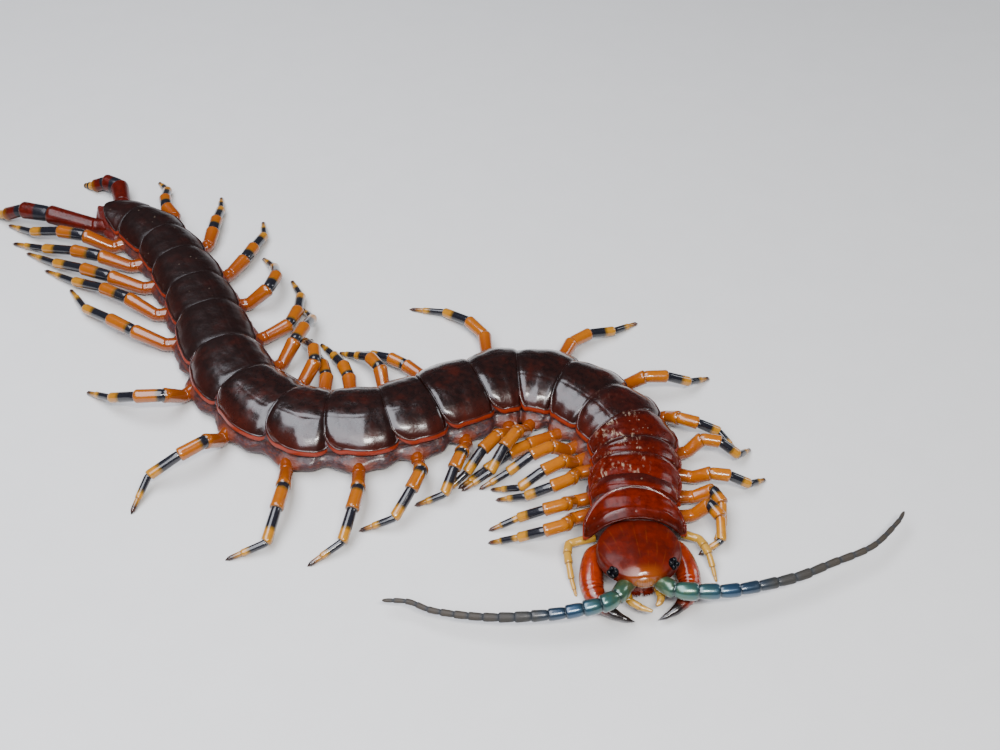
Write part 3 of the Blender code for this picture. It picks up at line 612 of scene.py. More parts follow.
def eye_place(side):
    """A matrix on the head plate under the eyes of one side, its Z axis pointing out of the head."""
    lateral = Vector((SIGN[side] * EYE_ASIDE, EYE_FORWARD[side], 0.0))
    radial = math.hypot(EYE_ASIDE / HEAD_HALF_WIDTH, EYE_FORWARD[side] / HEAD_HALF_LENGTH)
    height = HEAD_RIM_HEIGHT + HEAD_DOME * math.sqrt(max(0.0, 1 - radial ** 2)) ** DOME_FLATNESS
    tilt = math.radians(EYE_TILT)
    outward = lateral.normalized() * math.sin(tilt) + Vector((0, 0, math.cos(tilt)))
    place = head_frame()
    surface = place @ (lateral + Vector((0, 0, height)) - outward * EYE_FACET_DEPTH)
    return pointing(surface, place.to_3x3() @ outward)


def path_point(points, distance):
    """The point at a distance along a line of points, which runs on straight past its ends."""
    if distance < 0:
        return points[0] + (points[0] - points[1]).normalized() * -distance
    for a, b in zip(points, points[1:]):
        step = (b - a).length
        if distance <= step:
            return a.lerp(b, distance / step)
        distance -= step
    return points[-1] + (points[-1] - points[-2]).normalized() * distance


def rounded_point(points, distance, reach):
    """A point of the line with its corners rounded over a reach to each side."""
    shares = (-1.0, -0.6, -0.2, 0.2, 0.6, 1.0)
    return sum((path_point(points, distance + share * reach) for share in shares), Vector()) / len(shares)


# Meshes

def add_object(name, data):
    made = bpy.data.objects.new(name, data)
    bpy.context.scene.collection.objects.link(made)
    return made


def new_piece(name, bm, surface, replaced=(), angle=60.0, sheet=0.0):
    """Makes the finished object from a bmesh in metres, rides it on the body and gives it its finish.

    An open sheet, already the right way up, gets its thickness in millimetres from a modifier.
    """
    if not sheet:
        bmesh.ops.recalc_face_normals(bm, faces=bm.faces)
    mesh = bpy.data.meshes.new(name)
    bm.to_mesh(mesh)
    bm.free()
    piece = add_object(name, mesh)
    mesh.materials.append(surface)
    mesh.shade_smooth()
    mesh.set_sharp_from_angle(angle=math.radians(angle))
    if sheet:
        shell = piece.modifiers.new("thickness", "SOLIDIFY")
        shell.thickness = sheet * MM
        shell.offset = -1.0
    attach(piece, "root")
    if replaced:
        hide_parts(*replaced)


def turn_sheet(bm, face_up=True):
    """Turns an open sheet's faces so that they point up, or down."""
    bmesh.ops.recalc_face_normals(bm, faces=bm.faces)
    bm.normal_update()
    if (sum(face.normal.z for face in bm.faces) > 0) != face_up:
        bmesh.ops.reverse_faces(bm, faces=bm.faces)
        bm.normal_update()


def thicken(bm, thickness, face_up=True):
    """Gives an open sheet its thickness in millimetres, with its outer side up or down."""
    turn_sheet(bm, face_up)
    bmesh.ops.solidify(bm, geom=bm.faces, thickness=thickness * MM)


def grow_piece(name, rings, marks, surface, replaced=(), angle=60.0):
    """A closed piece grown from one circle, whose edge is extruded from ring to ring.

    A ring is a list of (point in millimetres, values for the marks).
    """
    bm = bmesh.new()
    order = bm.verts.layers.int.new("order")
    layers = [bm.verts.layers.float.new(mark) for mark in marks]

    def place(verts, ring):
        for vert in verts:
            point, values = ring[vert[order]]
            vert.co = metres(point)
            for layer, value in zip(layers, values):
                vert[layer] = value

    verts = bmesh.ops.create_circle(bm, cap_ends=False, radius=1.0, segments=len(rings[0]))["verts"]
    for vert in verts:
        vert[order] = round(math.atan2(vert.co.y, vert.co.x) / math.tau * len(verts)) % len(verts)
    edges = list(bm.edges)
    place(verts, rings[0])
    bmesh.ops.contextual_create(bm, geom=edges)
    for ring in rings[1:]:
        grown = bmesh.ops.extrude_edge_only(bm, edges=edges)["geom"]
        edges = [g for g in grown if isinstance(g, bmesh.types.BMEdge)]
        place([g for g in grown if isinstance(g, bmesh.types.BMVert)], ring)
    bmesh.ops.contextual_create(bm, geom=edges)
    new_piece(name, bm, surface, replaced, angle)


def ellipse_ring(middle, right, up, across, tall, values, sides):
    """A ring around a middle, across and tall in its two directions."""
    turns = [math.tau * i / sides for i in range(sides)]
    return [(middle + right * math.cos(t) * across + up * math.sin(t) * tall, values) for t in turns]


def keep_above_floor(ring):
    """The ring with what would reach through the floor lifted."""
    return [(Vector((p.x, p.y, max(p.z, FLOOR_CLEARANCE))), values) for p, values in ring]


def across_and_up(direction):
    """The level unit vector across a direction, and the one square to both."""
    right = direction.cross(Vector((0, 0, 1))).normalized()
    return right, right.cross(direction).normalized()


def new_tube(name, path, reach, stations, marks, sides, surface, replaced=()):
    """A piece grown along a path with rounded corners, from (distance, radius, values) stations."""
    rings = []
    for distance, radius, values in stations:
        middle = rounded_point(path, distance, reach)
        ahead = rounded_point(path, distance + 0.1, reach) - rounded_point(path, distance - 0.1, reach)
        right, up = across_and_up(ahead.normalized())
        rings.append(keep_above_floor(ellipse_ring(middle, right, up, radius, radius, values, sides)))
    grow_piece(name, rings, marks, surface, replaced)


def new_stub(name, start, end, swell, surface):
    """A short stub that carries a feeler or a claw, and swells along its length."""
    length = (end - start).length
    stations = [(share * length, radius, ()) for share, radius in swell]
    new_tube(name, [start, end], STUB_CORNER_REACH, stations, (), STUB_SIDES, surface)


def joint_share(share, length, width):
    """1 at either end of an article, falling to 0 a width away."""
    return max(0.0, 1 - min(share, 1 - share) * length / width)


# Finishes

class Wire:
    """A shader socket that takes part in Python arithmetic."""

    def __init__(self, finish, socket):
        self.finish = finish
        self.socket = socket

    def math(self, operation, *values):
        return self.finish.node("ShaderNodeMath", {"operation": operation}, dict(enumerate(values)))

    def __add__(self, other):
        return self.math("ADD", self, other)

    def __radd__(self, other):
        return self.math("ADD", other, self)

    def __sub__(self, other):
        return self.math("SUBTRACT", self, other)

    def __rsub__(self, other):
        return self.math("SUBTRACT", other, self)

    def __mul__(self, other):
        return self.math("MULTIPLY", self, other)

    def __rmul__(self, other):
        return self.math("MULTIPLY", other, self)

    def __truediv__(self, other):
        return self.math("DIVIDE", self, other)

    def __rtruediv__(self, other):
        return self.math("DIVIDE", other, self)

    def __abs__(self):
        return self.math("ABSOLUTE", self)

    def most(self, other):
        return self.math("MAXIMUM", self, other)

    def least(self, other):
        return self.math("MINIMUM", self, other)

    def sine(self):
        return self.math("SINE", self)

    def step(self, low, high):
        """Rises smoothly from 0 at low to 1 at high, or falls where low is the larger."""
        if low > high:
            return 1.0 - self.step(high, low)
        return self.finish.node("ShaderNodeMapRange", {"interpolation_type": "SMOOTHSTEP"},
                                {0: self, 1: low, 2: high, 3: 0.0, 4: 1.0})

    def hump(self, middle, width):
        """1 at the middle, falling smoothly to 0 a width away on both sides."""
        return abs(self - middle).step(width, 0.0)


class Finish:
    """A material under construction around one Principled BSDF."""

    def __init__(self, name, **constants):
        self.material = bpy.data.materials.new(name)
        self.material.use_nodes = True
        self.tree = self.material.node_tree
        self.shader = self.tree.nodes["Principled BSDF"]
        for socket, value in constants.items():
            self.shader.inputs[socket.replace("_", " ")].default_value = value
        self.place = self.node("ShaderNodeVectorMath", {"operation": "SCALE"},
                               {0: self.node("ShaderNodeTexCoord", output="Object"), "Scale": 1 / MM})

    def node(self, kind, settings=None, sockets=None, output=0):
        """Adds a node, sets its settings first, then its sockets' values or links."""
        made = self.tree.nodes.new(kind)
        for key, value in (settings or {}).items():
            if key == "stops":
                ramp = made.color_ramp
                while len(ramp.elements) < len(value):
                    ramp.elements.new(0.5)
                for element, (position, colour) in zip(ramp.elements, value):
                    element.position = position
                    element.color = (*colour, 1.0)
            else:
                setattr(made, key, value)
        for key, value in (sockets or {}).items():
            if isinstance(value, Wire):
                self.tree.links.new(value.socket, made.inputs[key])
            elif made.inputs[key].type == "RGBA" and len(value) == 3:
                made.inputs[key].default_value = (*value, 1.0)
            else:
                made.inputs[key].default_value = value
        return Wire(self, made.outputs[output])

    def marks(self, *names):
        """Values stored on the mesh's points."""
        return [self.node("ShaderNodeAttribute", {"attribute_name": name}, output="Fac") for name in names]

    def noise(self, scale, detail=3.0, roughness=0.5, stretch=None):
        """Noise from 0 to 1 with scale features to a millimetre."""
        vector = self.place
        if stretch:
            vector = self.node("ShaderNodeVectorMath", {"operation": "MULTIPLY"}, {0: vector, 1: stretch})
        return self.node("ShaderNodeTexNoise", {}, {"Vector": vector, "Scale": scale, "Detail": detail,
                                                    "Roughness": roughness})

    def cells(self, scale, feature="F1"):
        """Distance to the nearest of scattered points, or to the border between them."""
        return self.node("ShaderNodeTexVoronoi", {"feature": feature}, {"Vector": self.place, "Scale": scale})

    def mix(self, factor, low, high):
        """A colour between two colours."""
        return self.node("ShaderNodeMix", {"data_type": "RGBA"}, {0: factor, 6: low, 7: high}, output=2)

    def ramp(self, value, *stops):
        return self.node("ShaderNodeValToRGB", {"stops": stops}, {0: value})

    def bump(self, height, distance):
        """A surface normal from a height from 0 to 1 and the size in millimetres of its full height."""
        return self.node("ShaderNodeBump", {}, {"Strength": 1.0, "Distance": distance * MM, "Height": height})

    def feed(self, **wires):
        for socket, wire in wires.items():
            self.tree.links.new(wire.socket, self.shader.inputs[socket.replace("_", " ")])
        return self.material


def plate_finish(look, front=False):
    """Glossy shell of the back: near black in the middle, orange-red at the turned-down margins."""
    made = Finish("front_plate_shell" if front else "plate_shell", Coat_Roughness=0.16,
                  Specular_IOR_Level=0.12 if front else 0.3)
    down, across, red, dust, tail, edge, lip = made.marks(
        "down", "across", "red", "dust", "tail", "edge", "lip")
    aside = abs(across)
    cloud = made.noise(0.3, 3.0, 0.55)
    mottle = made.noise(0.9, 4.0, 0.6)
    brown = made.mix(mottle.step(0.35, 0.75) * 0.7, look.plate_dark, look.plate_brown)
    deep = made.mix(mottle.step(0.2, 0.75), look.plate_red_dark, look.plate_red)
    colour = made.mix((red + (cloud - 0.5) * 0.3).step(0.1, 0.9), brown, deep)
    warm = aside.step(0.6, 1.0) * 0.3 + cloud.step(0.5, 0.75) * 0.3
    colour = made.mix(warm * (1.0 - red * 0.7), colour, look.plate_warm)
    # Darker towards the tail: partly the last plates' own near-black colour, partly painted fall-off of light
    colour = made.mix(tail * 0.65, colour, look.plate_dark)
    # Painted shade: darker over the middle of each plate's rolled rear, and at its front, which lies under
    # the plate ahead
    painted_rear_shade = down.step(0.8, 1.0) * aside.step(0.95, 0.6) * 0.6
    painted_front_shade = down.step(0.35, 0.0) * (0.8 - red * 0.25)
    colour = made.mix(painted_rear_shade.most(painted_front_shade), colour, look.plate_dark)
    colour = made.mix(lip.step(0.36, 0.5), colour, look.margin)
    # Painted shade on the end of the rim that turns in under the plate
    colour = made.mix(lip.step(0.8, 1.0) * 0.6, colour, look.plate_red_dark)
    flake = made.noise(1.3, 6.0, 0.75, (1.0, 0.4, 1.0)).step(0.54, 0.59)
    flake = flake * made.noise(0.3, 2.0).step(0.42, 0.52)
    flake = flake * across.step(0.4, -0.1) * aside.step(0.95, 0.7) * dust.step(0.3, 0.8)
    speck = (made.cells(0.8) + (mottle - 0.5) * 0.6).step(0.1, 0.04)
    speck = speck * made.noise(0.2, 1.0).step(0.42, 0.5) * dust
    soil = flake.most(speck).least(1.0)
    colour = made.mix(soil * 0.7, colour, look.dust)
    rough = 0.24 + mottle * 0.08 + soil * 0.4 + lip * 0.3 + tail * 0.12
    coat = (0.8 - red * 0.72 + edge * 0.8).least(1.0) * (1.0 - lip) * (1.0 - tail * 0.85)
    dents = made.noise(0.8, 2.0, 0.5) * 0.55 + made.noise(2.4, 2.0, 0.5) * 0.12 + soil * 0.2
    return made.feed(Base_Color=colour, Roughness=rough, Coat_Weight=coat, Normal=made.bump(dents, 0.16))


def skin_finish(look):
    """Soft wrinkled skin of the flanks, with tougher orange-brown patches around the legs' roots."""
    made = Finish("flank_skin", Coat_Weight=0.3, Coat_Roughness=0.2, Specular_IOR_Level=0.35)
    height, root, tail = made.marks("height", "root", "tail")
    cloud = made.noise(0.6, 4.0, 0.6)
    colour = made.mix(cloud.step(0.3, 0.7), look.skin_dark, look.skin)
    patch = (root + (cloud - 0.5) * 0.7).step(0.22, 0.6)
    colour = made.mix(patch * 0.75, colour, look.coxa)
    streak = made.noise(0.8, 4.0, 0.6, (1.0, 1.0, 3.0)).step(0.5, 0.62) * height.step(1.2, 2.4)
    colour = made.mix(streak * 0.5, colour, look.coxa)
    colour = made.mix(height.step(1.6, 0.9) * 0.7, colour, look.belly)
    colour = made.mix(tail, colour, look.last_leg)
    folds = made.noise(1.1, 4.0, 0.55, (1.0, 1.0, 2.0))
    return made.feed(Base_Color=colour, Roughness=0.36 + folds * 0.2, Normal=made.bump(folds, 0.3))


def leg_finish(look, name="leg_shell", pale=False):
    """Glossy leg shell, from orange at the thigh to pale yellow at the foot, with black bands."""
    made = Finish(name, Coat_Weight=0.75, Coat_Roughness=0.05, Specular_IOR_Level=0.4)
    article, band, joint, depth = made.marks("article", "band", "joint", "depth")
    cloud = made.noise(1.1, 4.0, 0.6)
    if pale:
        colour = made.mix(cloud, look.foot, look.leg_pale)
    else:
        colour = made.ramp(article / 7.0, (0.0, look.coxa), (0.18, look.thigh), (0.38, look.thigh),
                           (0.44, look.leg), (0.55, look.leg), (0.7, look.foot), (0.85, look.foot),
                           (0.97, look.claw_tip))
        colour = made.mix(cloud.step(0.35, 0.75) * 0.35, colour, look.leg_shade)
        # Deeper and darker towards the tail: partly the legs' own colour, partly painted fall-off of light
        colour = made.mix((depth * 2.0).least(1.0) * article.step(3.0, 1.6) * 0.8, colour, look.coxa)
        colour = made.mix(depth * article.step(5.5, 3.5) * 0.6, colour, look.leg_shade)
    colour = made.mix(joint * 0.6, colour, look.joint)
    edge = band + (cloud - 0.5) * 0.4
    colour = made.mix(edge.step(0.1, 0.5) * 0.75, colour, look.band_edge)
    colour = made.mix(edge.step(0.45, 0.85), colour, look.band)
    dents = made.bump(made.noise(1.8, 3.0, 0.5), 0.02)
    return made.feed(Base_Color=colour, Roughness=0.18 + cloud * 0.12, Normal=dents)


def last_leg_finish(look):
    """Glossy red shell of the last pair, with black bands."""
    made = Finish("last_leg_shell", Coat_Weight=0.2, Coat_Roughness=0.1, Specular_IOR_Level=0.2)
    article, band, joint = made.marks("article", "band", "joint")
    cloud = made.noise(0.9, 4.0, 0.6)
    colour = made.mix(cloud.step(0.3, 0.7), look.last_leg_dark, look.last_leg)
    colour = made.mix(article.step(4.6, 5.4), colour, look.foot)
    colour = made.mix(joint * 0.5, colour, look.joint)
    colour = made.mix((band + (cloud - 0.5) * 0.5).step(0.35, 0.65), colour, look.band)
    dents = made.bump(made.noise(2.0, 4.0), 0.07)
    return made.feed(Base_Color=colour, Roughness=0.24 + cloud * 0.14, Normal=dents)


def feeler_finish(look):
    """Blue-green and glossy on the first articles, slate brown with fine down towards the tip."""
    made = Finish("feeler_shell", Coat_Roughness=0.2, Specular_IOR_Level=0.6)
    article, joint = made.marks("article", "joint")
    tip = article.step(4.0, 7.0)
    cloud = made.noise(1.2, 4.0, 0.6)
    colour = made.ramp(article / 17.0, (0.0, look.feeler_root), (0.07, look.feeler), (0.2, look.feeler_blue),
                       (0.34, look.feeler_slate), (0.6, look.feeler_tip), (1.0, look.feeler_tip))
    colour = made.mix(cloud.step(0.4, 0.7) * article.step(4.0, 0.5) * 0.7, colour, look.feeler_root)
    colour = made.mix(joint * 0.8, colour, look.feeler_ring)
    down = made.noise(9.0, 3.0, 0.7)
    rough = 0.26 + tip * 0.34 + down * 0.08
    return made.feed(Base_Color=colour, Roughness=rough, Metallic=0.6 - tip * 0.6, Coat_Weight=1.0 - tip,
                     Normal=made.bump(down * (0.15 + tip * 0.85), 0.05))


def head_finish(look):
    """Deep red head shell with darker mottling, fine lines that run forward and a glossy orange brow."""
    made = Finish("head_shell_red", Coat_Roughness=0.15, Specular_IOR_Level=0.12)
    forward, aside = made.marks("forward", "aside")
    cloud = made.noise(0.45, 3.0, 0.55)
    mottle = made.noise(0.7, 4.0, 0.6)
    colour = made.mix(mottle.step(0.3, 0.8) * 0.75, look.head, look.head_dark)
    ring = (made.noise(0.5, 3.0, 0.5) + forward * 0.1).step(0.45, 0.62) * forward.hump(0.15, 0.7)
    colour = made.mix(ring * 0.5, colour, look.head_dark)
    # Painted shade where the head's rear runs under the first plate
    colour = made.mix(forward.step(-0.5, -0.95) * 0.6, colour, look.head_dark)
    line = (aside * 60.0 / (2.2 - forward)).sine().step(0.9, 1.0)
    line = line * forward.step(-0.95, -0.4) * cloud.step(0.4, 0.6)
    colour = made.mix(line * 0.1, colour, look.thigh)
    brow = forward.step(0.55, 0.9) * abs(aside).step(0.6, 0.25)
    colour = made.mix(brow * 0.85, colour, look.brow)
    rough = 0.34 + mottle * 0.1 - brow * 0.18
    return made.feed(Base_Color=colour, Roughness=rough, Coat_Weight=0.1 + brow * 0.9,
                     Normal=made.bump(cloud * 0.7 + mottle * 0.2, 0.12))


def face_finish(look):
    """The paler shield between the feelers, with short brown lines that fan out below it."""
    made = Finish("face_shell", Coat_Weight=0.4, Coat_Roughness=0.08, Specular_IOR_Level=0.6)
    forward, aside = made.marks("forward", "aside")
    cloud = made.noise(1.4, 4.0, 0.6)
    colour = made.mix(cloud, look.brow, look.face)
    fan = (aside * 34.0).sine().step(0.6, 1.0) * forward.step(0.45, 0.75)
    colour = made.mix(fan * 0.6, colour, look.head_dark)
    return made.feed(Base_Color=colour, Roughness=0.22 + cloud * 0.1, Normal=made.bump(cloud, 0.08))


def claw_finish(look):
    """Glossy orange-red claw shell that ends in a black point."""
    made = Finish("poison_claw_shell", Coat_Weight=0.7, Coat_Roughness=0.12, Specular_IOR_Level=0.4)
    along, joint = made.marks("along", "joint")
    cloud = made.noise(0.8, 4.0, 0.6)
    colour = made.mix(cloud.step(0.3, 0.75), look.claw, look.claw_dark)
    colour = made.mix(joint * 0.5, colour, look.head_dark)
    colour = made.mix(along.step(0.65, 0.755), colour, look.claw_tip)
    wrinkle = (along * 150.0).sine() * along.hump(0.5, 0.14) * 0.5 + cloud * 0.5
    return made.feed(Base_Color=colour, Roughness=0.2 + cloud * 0.1, Normal=made.bump(wrinkle, 0.14))


def plain_shell_finish(name, low, high, roughness):
    """A simple clouded shell."""
    made = Finish(name, Coat_Weight=0.3, Coat_Roughness=0.12, Specular_IOR_Level=0.5)
    cloud = made.noise(1.1, 4.0, 0.6)
    colour = made.mix(cloud.step(0.3, 0.75), low, high)
    return made.feed(Base_Color=colour, Roughness=roughness + cloud * 0.15, Normal=made.bump(cloud, 0.1))


def eye_finish(look):
    made = Finish("eye_bead", Coat_Weight=0.15, Coat_Roughness=0.05, Specular_IOR_Level=0.12)
    cloud = made.noise(3.0, 2.0)
    return made.feed(Base_Color=made.mix(cloud, look.eye, look.eye_glint), Roughness=0.1 + cloud * 0.05)


def floor_finish(look):
    made = Finish("pale_floor", Specular_IOR_Level=0.2)
    grain = made.noise(0.12, 5.0, 0.6)
    colour = made.mix(grain, look.floor, tuple(c * 0.93 for c in look.floor))
    return made.feed(Base_Color=colour, Roughness=0.75 + grain * 0.15)


# The trunk

def arch_height(aside):
    """The height of the plates' arch at a share of the half width."""
    arch = [Vector((a, h, 0)) for a, h in PLATE_ARCH]
    arch = [Vector((-arch[1].x, arch[1].y, 0)), *arch, arch[-1] * 2 - arch[-2]]
    i = max([k for k in range(1, len(arch) - 2) if arch[k].x <= aside])
    return spline(arch, i + (aside - arch[i].x) / (arch[i + 1].x - arch[i].x)).y


def roots_of(side):
    """The legs' roots on one side, as points with the directions of their stubs."""
    return [coxa_line(pair, side)[1:] + (leg_thickness(pair),) for pair in range(1, PLATES + 1)]


def skin_outline():
    """The skin's outline all round the body, from the half in the table."""
    half = extended([Vector((share, height, 0)) for share, height in SKIN_PROFILE])
    samples = SKIN_SIDES // 2
    outline = [spline(half, 1 + i / samples * (len(half) - 3)) for i in range(samples + 1)]
    return outline + [Vector((-p.x, p.y, 0)) for p in reversed(outline[1:-1])]


def skin_ring(along, outline, roots):
    """One ring of the skin, with the marks of each of its points."""
    middle, _, left = axis_frame(along)
    inside = along - math.floor(along)
    to_fold = min(inside, 1 - inside) * PLATE_LENGTHS[min(PLATES - 1, max(0, math.floor(along)))]
    full = smooth_step(0.0, FOLD_REACH, to_fold)
    opening = smooth_step(*NECK_OPENING, along) ** 0.5 * (1 - smooth_step(*TAIL_CLOSING, along)) ** 0.5
    opening = max(opening, LEAST_OPENING[0])
    ring = []
    for point in outline:
        lower = smooth_step(*LOWER_FLANK, point.y)
        shape = 1 - FOLD_DEPTH * (1 - full) * lower + SEGMENT_SWELL * full * lower
        half = half_width(along) * opening * shape
        half *= 1 - NECK_NARROWING * lower * smooth_step(*NECK_END, along)
        height = share_height(along, point.y)
        if opening < 1:
            height = CLOSING_HEIGHT + (height - CLOSING_HEIGHT) * max(opening, LEAST_OPENING[1])
        at = middle + left * point.x * half + Vector((0, 0, height))
        swell, outward, patch = Vector(), Vector(), 0.0
        if abs(point.x) > FLANK_FROM:
            outward = left * math.copysign(1.0, point.x)
            for face, direction, thick in roots["left" if point.x > 0 else "right"]:
                gap = at - face
                if max(abs(gap.x), abs(gap.y)) > ROOT_RANGE:
                    continue
                near = math.exp(-gap.length_squared / (ROOT_SWELL_WIDTH * thick) ** 2)
                swell += direction * near * ROOT_SWELL
                patch = max(patch, math.exp(-gap.length_squared / (ROOT_PATCH_WIDTH * thick) ** 2))
        ripple = sum(noise.noise(at * scale) * depth for scale, depth in SKIN_RIPPLES)
        at = at + (swell + outward * ripple * opening) * lower
        at.z = max(at.z, SKIN_LOWEST)
        ring.append((at, (at.z, patch, smooth_step(*LAST_SEGMENT, along))))
    return ring


def build_skin(look):
    """One soft skin from neck to tail, drawn in between the segments and swollen around the legs."""
    outline = skin_outline()
    roots = {side: roots_of(side) for side in SIDES}
    stations = int((PLATES + SKIN_PAST_TAIL) * SKIN_STEPS_PER_PLATE) + 1
    rings = [skin_ring(i / SKIN_STEPS_PER_PLATE + SKIN_START, outline, roots) for i in range(stations)]
    bodies = [f"body_{first:02d}_{first + 2:02d}" for first in range(1, PLATES, 3)]
    grow_piece("flank_skin", rings, ("height", "root", "tail"), skin_finish(look), bodies, 80)


def plate_columns(half, corner):
    """Shares of the half width across a plate, closer together where its corners are round."""
    turns = [math.pi / 2 * i / CORNER_STEPS for i in range(CORNER_STEPS + 1)]
    across = [i / PLATE_COLUMNS * (1 - corner / half) for i in range(PLATE_COLUMNS)]
    across += [1 - corner / half * (1 - math.sin(turn)) for turn in turns]
    return [-v for v in reversed(across[1:])] + across


def plate_ends(number, v, pull):
    """Where a plate starts and ends at a share across it, in millimetres down its segment."""
    bow = PLATE_BOW.get(number, USUAL_BOW) * abs(v) ** BOW_POWER
    end = PLATE_LENGTHS[number - 1] + (LAST_PLATE_REACH if number == PLATES else PLATE_OVERLAP) - bow
    if number == 1:
        start = FIRST_PLATE_START + pull * FIRST_CORNER_PULL[0]
        start += FIRST_PLATE_TURN * v - FIRST_PLATE_REACH * v ** 2
        return start, end - pull * FIRST_CORNER_PULL[1]
    start = -PLATE_TUCK + pull * CORNER_PULL[0]
    if number == 2:
        start -= SECOND_PLATE_WING * abs(v) ** BOW_POWER
    return start, end - pull * CORNER_PULL[1]


def plate_spread(number, v, share, level, bend):
    """How wide a plate is at a share down it, with a lobe on the outer side of a bend."""
    spread = FIRST_PLATE_SPREAD if number == 1 else interpolate(PLATE_SPREAD, level)
    if number > 2:
        outer = max(0.0, bend * math.copysign(1.0, v))
        lobe = BEND_LOBE * bell(share - LOBE_PLACE, LOBE_LENGTH)
        spread *= 1 + outer * (lobe - BEND_WAIST * max(0.0, share - WAIST_FROM))
    return spread


def plate_relief(number, v, row, from_front, to_rear):
    """What ridges, furrows and the rolled rear rim add to the height, and how much of it is a ridge."""
    relief = edge = 0.0
    if number == 1:
        rise, place, width = FRONT_RIDGE
        edge = bell(from_front - place, width)
        relief += rise * edge
    depth, aside, width = FURROW
    relief -= depth * bell(abs(v) - aside, width) * smooth_step(*FURROW_START, row)
    roll = REAR_ROLL * (1 - TAIL_ROLL_LOSS * smooth_step(*TAIL_PLATES, number))
    relief -= roll * max(0.0, 1 - to_rear / REAR_ROLL_REACH) ** 2
    if number in PLATE_RIDGES:
        ridge = bell(to_rear - RIDGE_FROM_REAR, RIDGE_WIDTH)
        relief += PLATE_RIDGES[number] * ridge
        edge += ridge
    return relief, edge


def roll_rim(bm, marks, home):
    """Rolls the rim of an open plate over, from where its edge stands now."""
    edges = [edge for edge in bm.edges if edge.is_boundary]
    for step, (side_step, rear_step) in enumerate(zip(SIDE_LIP, REAR_LIP), start=1):
        grown = bmesh.ops.extrude_edge_only(bm, edges=edges)["geom"]
        edges = [g for g in grown if isinstance(g, bmesh.types.BMEdge)]
        for vert in (g for g in grown if isinstance(g, bmesh.types.BMVert)):
            lateral = math.cos(vert[marks["turn"]])
            out, rise = (a * lateral + b * (1 - lateral) for a, b in zip(side_step, rear_step))
            _, ahead, left = axis_frame(vert[marks["along"]])
            outward = left * math.copysign(lateral, vert[marks["across"]])
            outward -= ahead * math.sin(vert[marks["turn"]])
            vert.co = vert[home] + (outward * out + Vector((0, 0, rise))) * MM
            vert[marks["lip"]] = step / len(SIDE_LIP) * lateral


def build_back_plate(number, surface):
    """One arched plate, its front tucked under the one ahead and its rim rolled over all round."""
    length = PLATE_LENGTHS[number - 1]
    half = half_width(number - WIDTH_TAKEN_AT)
    corner = min(CORNER, length * CORNER_MOST_SHARE)
    across = plate_columns(half, corner)
    before, after = axis_frame(number - 1)[1], axis_frame(number)[1]
    bend = min(1.0, max(-1.0, before.cross(after).z / BEND_FULL))
    drop = FIRST_PLATE_DROP if number == 1 else PLATE_DROP
    bm = bmesh.new()
    bmesh.ops.create_grid(bm, x_segments=PLATE_ROWS, y_segments=len(across) - 1, size=1.0)
    marks = {name: bm.verts.layers.float.new(name) for name in PLATE_MARKS}
    home = bm.verts.layers.float_vector.new("home")
    for vert in bm.verts:
        row = 1 - (1 - (vert.co.x + 1) / 2) ** ROW_CROWDING
        v = across[round((vert.co.y + 1) / 2 * (len(across) - 1))]
        past = max(0.0, abs(v) * half - (half - corner))
        start, end = plate_ends(number, v, corner - math.sqrt(max(0.0, corner ** 2 - past ** 2)))
        down = start + (end - start) * row
        share = down / length
        level = down / max(length, PLATE_LEVEL_LENGTH)
        # The second plate's wings lie along the first segment
        along = number - 1 + (down / PLATE_LENGTHS[0] if number == 2 and down < 0 else share)
        middle, _, left = axis_frame(along)
        aside = half_width(along) * plate_spread(number, v, share, level, bend) * PLATE_ARCH[-1][0]
        at = middle + left * v * aside
        relief, edge = plate_relief(number, v, row, down - start, end - down)
        height = arch_height(abs(v) * PLATE_ARCH[-1][0]) + interpolate(drop, level) + relief
        height += SIDE_LIFT * abs(v) * math.sin(math.pi * min(1.0, max(0.0, share)))
        scale, depth = PLATE_UNEVENNESS
        at.z = share_height(along, height) + noise.noise(Vector((at.x, at.y, number)) * scale) * depth
        vert.co = metres(at)
        vert[home] = vert.co
        turn = math.acos(min(1.0, past / corner))
        turn = turn if row > 0.999 else -turn if row < 0.001 else 0.0
        dust, tail = PLATE_DUST.get(number, 0.0), smooth_step(*TAIL_PLATES, number)
        values = (share, v, PLATE_REDNESS[number - 1], dust, tail, edge, along, turn)
        for name, value in zip(PLATE_MARKS, values):
            vert[marks[name]] = value
    roll_rim(bm, marks, home)
    turn_sheet(bm)
    new_piece(f"back_plate_{number:02d}", bm, surface, sheet=PLATE_THICKNESS)


def build_belly_plates(look):
    """The flat shields under the body, one to a segment, each with two long furrows."""
    surface = plain_shell_finish("belly_shell", look.belly, look.coxa, 0.35)
    first, span = BELLY_PLATE_SPAN
    depth, furrow, width = BELLY_FURROW
    for number in range(1, PLATES + 1):
        bm = bmesh.new()
        bmesh.ops.create_grid(bm, x_segments=14, y_segments=24, size=1.0)
        for vert in bm.verts:
            s, v = (vert.co.x + 1) / 2, vert.co.y
            share = first + span * s + BELLY_CORNER * abs(v) ** 6 * (1 - 2 * s)
            middle, _, left = axis_frame(number - 1 + share)
            at = middle + left * v * half_width(number - 1 + share) * BELLY_PLATE_HALF_WIDTH
            edge = smooth_step(BELLY_RIM_FROM, 1.0, max(abs(v), abs(2 * s - 1)))
            at.z = BELLY_PLATE_HEIGHT + BELLY_RIM * edge + depth * bell(abs(v) - furrow, width)
            vert.co = metres(at)
        thicken(bm, BELLY_PLATE_THICKNESS, face_up=False)
        new_piece(f"belly_plate_{number:02d}", bm, surface)


# The legs

def bands_of(pair, side):
    """The black bands of a leg."""
    if pair == 1:
        return ()
    if pair == PLATES:
        return LAST_BANDS
    if pair in (2, 3):
        return FIRST_BANDS[side]
    if pair < MIDDLE_BAND_FROM:
        return USUAL_BANDS
    return (*USUAL_BANDS, MIDDLE_BAND if pair < REAR_BAND_FROM else REAR_BAND)


